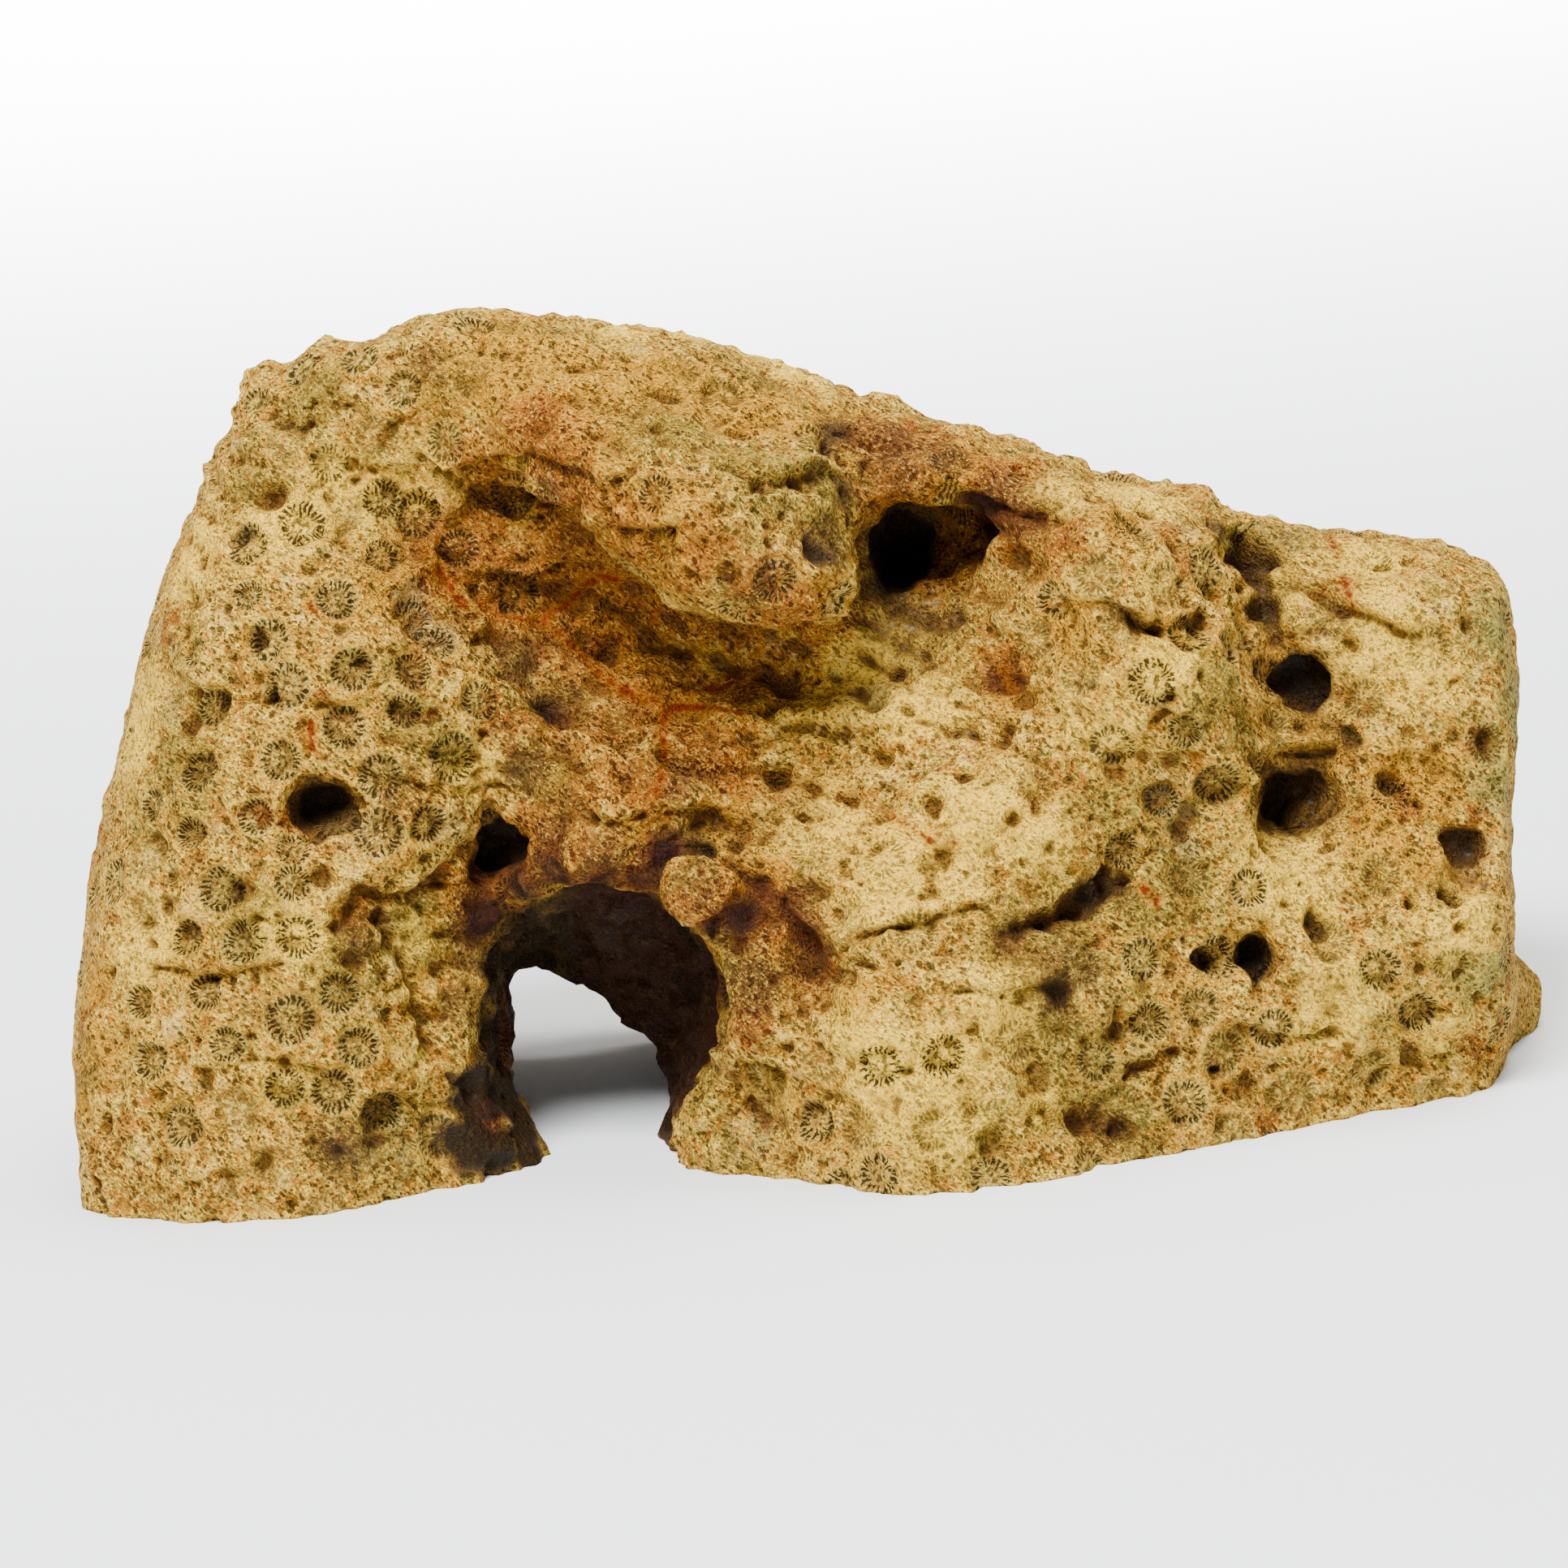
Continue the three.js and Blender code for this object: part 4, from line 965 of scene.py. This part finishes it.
def star_slots(nodes, stars):
    """Dark slots between the thin plates that stand round the middle of each cup."""
    across = nodes.add("ShaderNodeSeparateXYZ", {0: nodes.value("cup_plan", "Vector")})
    along, crisp = across.beside(1), across.beside(2)
    gap = (across.math("POWER", 2) + along.math("POWER", 2)).math("SQRT")
    turn = along.math("ARCTAN2", across) * (stars / (2 * math.pi))
    turn = turn + (nodes.noise(1.1, 1.1, 3, 0.6) - 0.5) * 3.2
    plate = nodes.add("ShaderNodeCombineXYZ", {0: turn.math("FLOOR"), 1: crisp})
    chance = nodes.add("ShaderNodeTexWhiteNoise", {"Vector": plate}, "Value", noise_dimensions="2D")
    # 0 in the middle of a slot, 0.5 in the middle of a plate
    wave = (turn.math("FRACT") - 0.5).math("ABSOLUTE")
    wide = chance.scaled(0.14, 0.12).math("DIVIDE", gap.larger(0.3))
    slot = (wide - wave).step(-0.06, 0.06)
    broken = nodes.noise(0.34, 0.34, 1, place=0.01)
    start = gap - chance.scaled(0.3, 0.3)
    end = broken.scaled(0.35, 0.68) - gap
    ring = start.step(-0.03, 0.06) * end.step(-0.03, 0.06)
    slots = slot * ring * broken.step(0.66, 0.52)
    heart = gap.step(0.42, 0.25) * broken.step(0.5, 0.42)
    return slots.larger(heart * 0.8), crisp, gap


def pore_field(nodes, long, short, least, most, place):
    """Long pores of uneven size along the grain of the stone."""
    vector = nodes.grain(long, short, LEAN, place)
    ragged = nodes.add("ShaderNodeTexNoise", {"Vector": vector, "Scale": 1.7, "Detail": 1}, "Color")
    inputs = {0: ragged, 1: (0.9, 0.9, 0.9), 2: vector}
    shifted = nodes.add("ShaderNodeVectorMath", inputs, operation="MULTIPLY_ADD")
    distance = nodes.add("ShaderNodeTexVoronoi", {"Vector": shifted, "Scale": 1}, "Distance")
    chance = nodes.add("ShaderNodeSeparateColor", {0: distance.beside("Color")})
    return (chance.scaled(most - least, least) - distance).step(-0.07, 0.07)


def stone_finish(settings):
    """Porous ochre stone with star cups, iron and clay stains, damp hollows and painted shade and
    highlights.
    """
    material = bpy.data.materials.new(SLOT)
    nodes = Nodes(material)
    slots, crisp, gap = star_slots(nodes, settings.star_plates)
    starry = crisp.step(0.12, 0.5)
    crest, nook, cave, rust, pale = map(nodes.value, ("crest", "nook", "cave", "rust", "pale"))
    # pores
    pores = pore_field(nodes, 0.66, 0.36, 0.02, 0.5, 0) * nodes.noise(2.4, 2.4, 2).step(0.3, 0.46)
    specks = pore_field(nodes, 0.36, 0.21, -0.05, 0.44, 0.02)
    in_cup = gap.step(0.98, 0.88) * starry
    holes = pores.larger(specks * 0.85) * in_cup.scaled(-0.7, 1) * pale.scaled(-0.35, 1)
    slots = slots * starry
    dark = holes.larger(slots)
    # the stone's own colours
    mottle = nodes.noise(1.5, 1.1, 4, 0.65, LEAN)
    broad = nodes.noise(11, 11, 3)
    grains = nodes.noise(0.46, 0.26, 2, 0.6, LEAN, 0.05)
    crumbs = nodes.noise(0.34, 0.2, 2, 0.6, LEAN, 0.06)
    honey = nodes.noise(1, 0.8, 3, 0.7, LEAN, 0.11)
    tawny = nodes.noise(2.4, 1.8, 4, 0.7, LEAN, 0.15)
    stone = nodes.paint(mottle.step(0.38, 0.62), shade_of("936A1E"), [*settings.stone_colour, 1])
    # painted highlight: ridges that stand out of the smoothed surface turn pale cream (the crest
    # row)
    stone = nodes.tints(stone, (
        (broad, 0.42, 0.62, 0.5, "946A1E"), (crest, 0.02, 0.28, 0.6, "F2C84C"),
        (grains, 0.5, 0.6, 0.8, "F0CA52"), (grains, 0.46, 0.36, 0.75, "855A1C"),
        (honey, 0.52, 0.6, 0.8, "A8640A"), (honey, 0.46, 0.38, 0.5, "868234"),
        (tawny, 0.53, 0.61, 0.6, "925610"), (tawny, 0.45, 0.36, 0.45, "E6C064"),
    ))
    rim = gap.step(0.86, 1) * gap.step(1.2, 1.06)
    stone = nodes.tint(stone, rim * starry, 0.7, "C48C1C")
    stone = nodes.tint(stone, in_cup, 0.4, "B09648")
    outside = in_cup.scaled(-0.45, 1)
    # stains, grain by grain; the pale ground also lays painted light, and the umber ground painted
    # shade
    patch = nodes.noise(3.6, 3.6, 3, 0.6, place=0.03) - 0.5
    speck = nodes.noise(0.8, 0.6, 3, 0.6, LEAN, 0.09) - 0.5
    uneven = patch * 1.2 + speck * 1.5
    strewn = nodes.noise(8, 8, 3, 0.6, place=0.07)
    rusty = rust.larger(strewn.step(0.42, 0.26)) + uneven
    clayey = nodes.value("olive").larger(strewn.step(0.56, 0.72)) + uneven
    stone = nodes.tints(stone, (
        (nodes.value("amber") + uneven, 0.2, 0.8, 0.75, "B47C10"),
        (rusty, 0.15, 0.75, 0.8, "94500F"), (rusty, 0.5, 1.2, 0.75, "6C300E"),
        (clayey, 0.25, 0.9, 0.6, "5C5218"), (pale + uneven, 0.2, 0.9, 0.7, "FFD042"),
        (nodes.value("grey") + uneven, 0.3, 0.8, 0.6, "A48C50"),
        (nodes.value("umber_and_shade") + uneven, 0.25, 0.9, 0.75, "58381A"),
        (nodes.value("moss") + uneven, 0.3, 0.9, 0.6, "747C40"),
        # the finest crumbs
        (crumbs, 0.54, 0.66, 0.35, "FFDC5A"), (crumbs, 0.46, 0.34, 0.34, "4E3614"),
    ))
    # painted shade: creases, shut-in nooks and caves darkened to browns
    stone = nodes.tint(stone, crest.step(-0.02, -0.32) * outside, 0.75, "523212")
    stone = nodes.tint(stone, cave.step(0.2, 0.7), 0.4, "7E4E1A")
    stone = nodes.tint(stone, nook.step(0.25, 0.8) * outside, 0.75, "4C280E")
    # painted shade: shaded places and the archway darkened to brown and near black, reddish where
    # rusty or on the archway's right wall; rusty places keep less of the caves' shade
    redder = rust.larger(nodes.value("archway")).step(0.2, 0.7)
    sunk = nodes.value("shade").scaled(0.9, cave * rust.scaled(-0.45, 1)) + patch * 0.7
    brown = nodes.paint(redder, shade_of("4C3618"), shade_of("52280E"))
    darkest = nodes.paint(redder, shade_of("20160A"), shade_of("26100A"))
    stone = nodes.paint(sunk.step(0.4, 0.8) * 0.8, stone, brown)
    stone = nodes.paint(sunk.step(0.72, 1.1) * 0.92, stone, darkest)
    # pores and slots
    in_holes = nodes.paint(rust.step(0.2, 0.7), shade_of("402C0E"), shade_of("401A08"))
    stone = nodes.paint(holes * 0.9, stone, in_holes)
    stone = nodes.tint(stone, slots, 0.95, "241C0D")
    # iron seams
    seam = uneven.scaled(0.55, nodes.value("vein_gap"))
    stone = nodes.tints(stone, (
        (seam, 0.9, 0.25, 0.4, "975500"), (seam, 0.34, 0.12, 0.9, "722004"),
    ))
    # gloss and fine relief
    damp = nodes.value("damp").math("ADD", sunk.step(0.5, 0.9) * 0.5, clamp=True)
    relief = dark.scaled(-0.8, grains * 2.2) + mottle.scaled(1.6, crumbs)
    inputs = {"Strength": 1, "Distance": settings.pore_depth, "Height": relief}
    nodes.feed(nodes.shader, {
        "Base Color": stone, "Roughness": grains.scaled(0.3, 0.6) - damp * 0.25 + dark * 0.2,
        "Specular IOR Level": 0.08, "Coat Weight": damp.step(0.3, 0.9) * 0.08,
        "Coat Roughness": 0.3, "Normal": nodes.add("ShaderNodeBump", inputs, "Normal"),
    })
    return material


def floor_finish(colour):
    """Plain pale matt board with the faintest grain."""
    material = bpy.data.materials.new("pale_board")
    nodes = Nodes(material)
    fibre = nodes.noise(6, 6, 3)
    pale = nodes.paint(fibre * 0.06, [*colour, 1], shade_of("C9CED2"))
    nodes.feed(nodes.shader, {"Base Color": pale, "Roughness": fibre.scaled(0.1, 0.55)})
    return material


# ---- the panel's settings


def length_of(name, description, default, low, high):
    """A setting that is a length."""
    return FloatProperty(
        name=name, description=description, default=default, min=low, max=high,
        subtype="DISTANCE", unit="LENGTH", precision=5,
    )


class CoralSettings(bpy.types.PropertyGroup):
    """Sizes and colours of the stone."""

    net_size: length_of(
        "Net size", "Width of the surface net at the back, twice that of the front",
        0.86 * MM, 0.5 * MM, 3 * MM,
    )
    cup_spacing: length_of(
        "Cup spacing", "How far apart the coral's cups stand", 4 * MM, 2 * MM, 10 * MM,
    )
    cup_depth: length_of("Cup depth", "How deep the crispest cups are sunk", 0.78 * MM, 0, 2 * MM)
    pore_depth: length_of("Pore depth", "How deep the finest pores look", 0.3 * MM, 0, MM)
    star_plates: IntProperty(
        name="Star plates", description="Thin plates round the middle of each cup",
        default=21, min=6, max=48,
    )
    stone_colour: FloatVectorProperty(
        name="Stone colour", description="Ground colour of the clean stone",
        default=shade_of("BA8C24")[:3], size=3, min=0, max=1, subtype="COLOR",
    )
    seed: IntProperty(
        name="Seed", description="Changes where the unplanned cups and bores lie", default=7, min=0,
    )


class StudioSettings(bpy.types.PropertyGroup):
    """The floor and the light."""

    floor_size: length_of("Floor size", "Length of each side of the floor", 8, 1, 30)
    floor_colour: FloatVectorProperty(
        name="Floor colour", description="Colour of the pale floor",
        default=(0.86, 0.88, 0.89), size=3, min=0, max=1, subtype="COLOR",
    )
    sky_strength: FloatProperty(
        name="Sky strength", description="Brightness of the light from all round",
        default=0.5, min=0, max=5,
    )
    key_power: FloatProperty(
        name="Key light power", description="Power of the soft light above the front",
        default=15.5, min=0, max=200, subtype="POWER", unit="POWER",
    )


# ---- the operators


class CORAL_OT_block(bpy.types.Operator):
    """Build the block of fossil coral with its cups, ledges, pits and finish"""

    bl_idname = "coral.block"
    bl_label = "Build the coral block"
    bl_options = {"REGISTER", "UNDO"}

    def execute(self, context):
        settings = context.scene.coral
        # without a seed, which must not be 0, the noise vectors would change with the clock
        noise.seed_set(settings.seed + 1)
        block = regrained(solid_copy(), settings.net_size)
        soften(block, 7)
        refine_front(block)
        cups = relieved(block, settings)
        cut_foot(block)
        mesh = as_mesh(block, "star_coral_block")
        if not mesh.polygons:
            raise RuntimeError("the coral block came out empty")
        mesh.polygons.foreach_set("use_smooth", [True] * len(mesh.polygons))
        write_finish_values(mesh, cups)
        piece = placed("star_coral_block", mesh)
        mesh.materials.append(stone_finish(settings))
        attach(piece, "root")
        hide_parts(NODE)
        return {"FINISHED"}


def add_light(name, place, aim, size, power, spread=180, colour=(1, 1, 1)):
    """A square soft light that shines within the spread, in degrees."""
    light = bpy.data.lights.new(name, "AREA")
    light.size = size
    light.spread = math.radians(spread)
    light.energy = power
    light.color = colour
    lamp = placed(name, light)
    lamp.location = place
    lamp.rotation_euler = (Vector(aim) - Vector(place)).to_track_quat("-Z", "Y").to_euler()


def add_camera(scene):
    """The camera in front, looking down a little and leaning."""
    camera = bpy.data.cameras.new("camera")
    camera.sensor_width = SENSOR_WIDTH
    camera.lens = SENSOR_WIDTH * VIEW_DISTANCE / VIEW_WIDTH
    camera.clip_start = 0.01
    holder = placed("camera", camera)
    turn = Matrix((RIGHT, UP, -LOOK)).transposed().to_4x4()
    holder.matrix_world = Matrix.Translation(EYE) @ turn
    scene.camera = holder


class CORAL_OT_studio(bpy.types.Operator):
    """Lay the pale floor and set the soft lights and the camera"""

    bl_idname = "coral.studio"
    bl_label = "Set the studio"
    bl_options = {"REGISTER", "UNDO"}

    def execute(self, context):
        scene = context.scene
        settings = scene.coral_studio
        board = bmesh.new()
        bmesh.ops.create_grid(board, x_segments=2, y_segments=2, size=settings.floor_size / 2)
        floor = placed("studio_floor", as_mesh(board, "studio_floor"))
        floor.data.materials.append(floor_finish(settings.floor_colour))
        world = bpy.data.worlds.new("soft_sky")
        world.use_nodes = True
        sky = world.node_tree.nodes["Background"]
        sky.inputs["Color"].default_value = (0.93, 0.96, 1.0, 1)
        sky.inputs["Strength"].default_value = settings.sky_strength
        scene.world = world
        power = settings.key_power
        warm = (1, 0.98, 0.95)
        add_light("key_light", (-0.16, -0.36, 0.62), (0, 0, 0.02), 0.3, power)
        add_light("top_light", (0.2, 0.1, 0.7), (0, 0, 0.03), 0.4, power * 0.4, colour=warm)
        add_light("back_light", (0, 1.05, 0.9), (0, 1.05, 0), 0.9, power * 4, spread=80)
        add_camera(scene)
        return {"FINISHED"}


class CORAL_PT_panel(bpy.types.Panel):
    """Settings and buttons for the fossil coral"""

    bl_idname = "CORAL_PT_panel"
    bl_label = "Fossil coral"
    bl_space_type = "VIEW_3D"
    bl_region_type = "UI"
    bl_category = "Fossil coral"

    def draw(self, context):
        for group, operator in (("coral", "coral.block"), ("coral_studio", "coral.studio")):
            box = self.layout.box()
            settings = getattr(context.scene, group)
            for name in settings.__annotations__:
                box.prop(settings, name)
            box.operator(operator)


CLASSES = (CoralSettings, StudioSettings, CORAL_OT_block, CORAL_OT_studio, CORAL_PT_panel)


def register():
    for piece in CLASSES:
        bpy.utils.register_class(piece)
    bpy.types.Scene.coral = PointerProperty(type=CoralSettings)
    bpy.types.Scene.coral_studio = PointerProperty(type=StudioSettings)


def unregister():
    del bpy.types.Scene.coral_studio
    del bpy.types.Scene.coral
    for piece in reversed(CLASSES):
        bpy.utils.unregister_class(piece)


def main():
    register()
    bpy.ops.coral.block()
    bpy.ops.coral.studio()


if __name__ == "__main__":
    main()
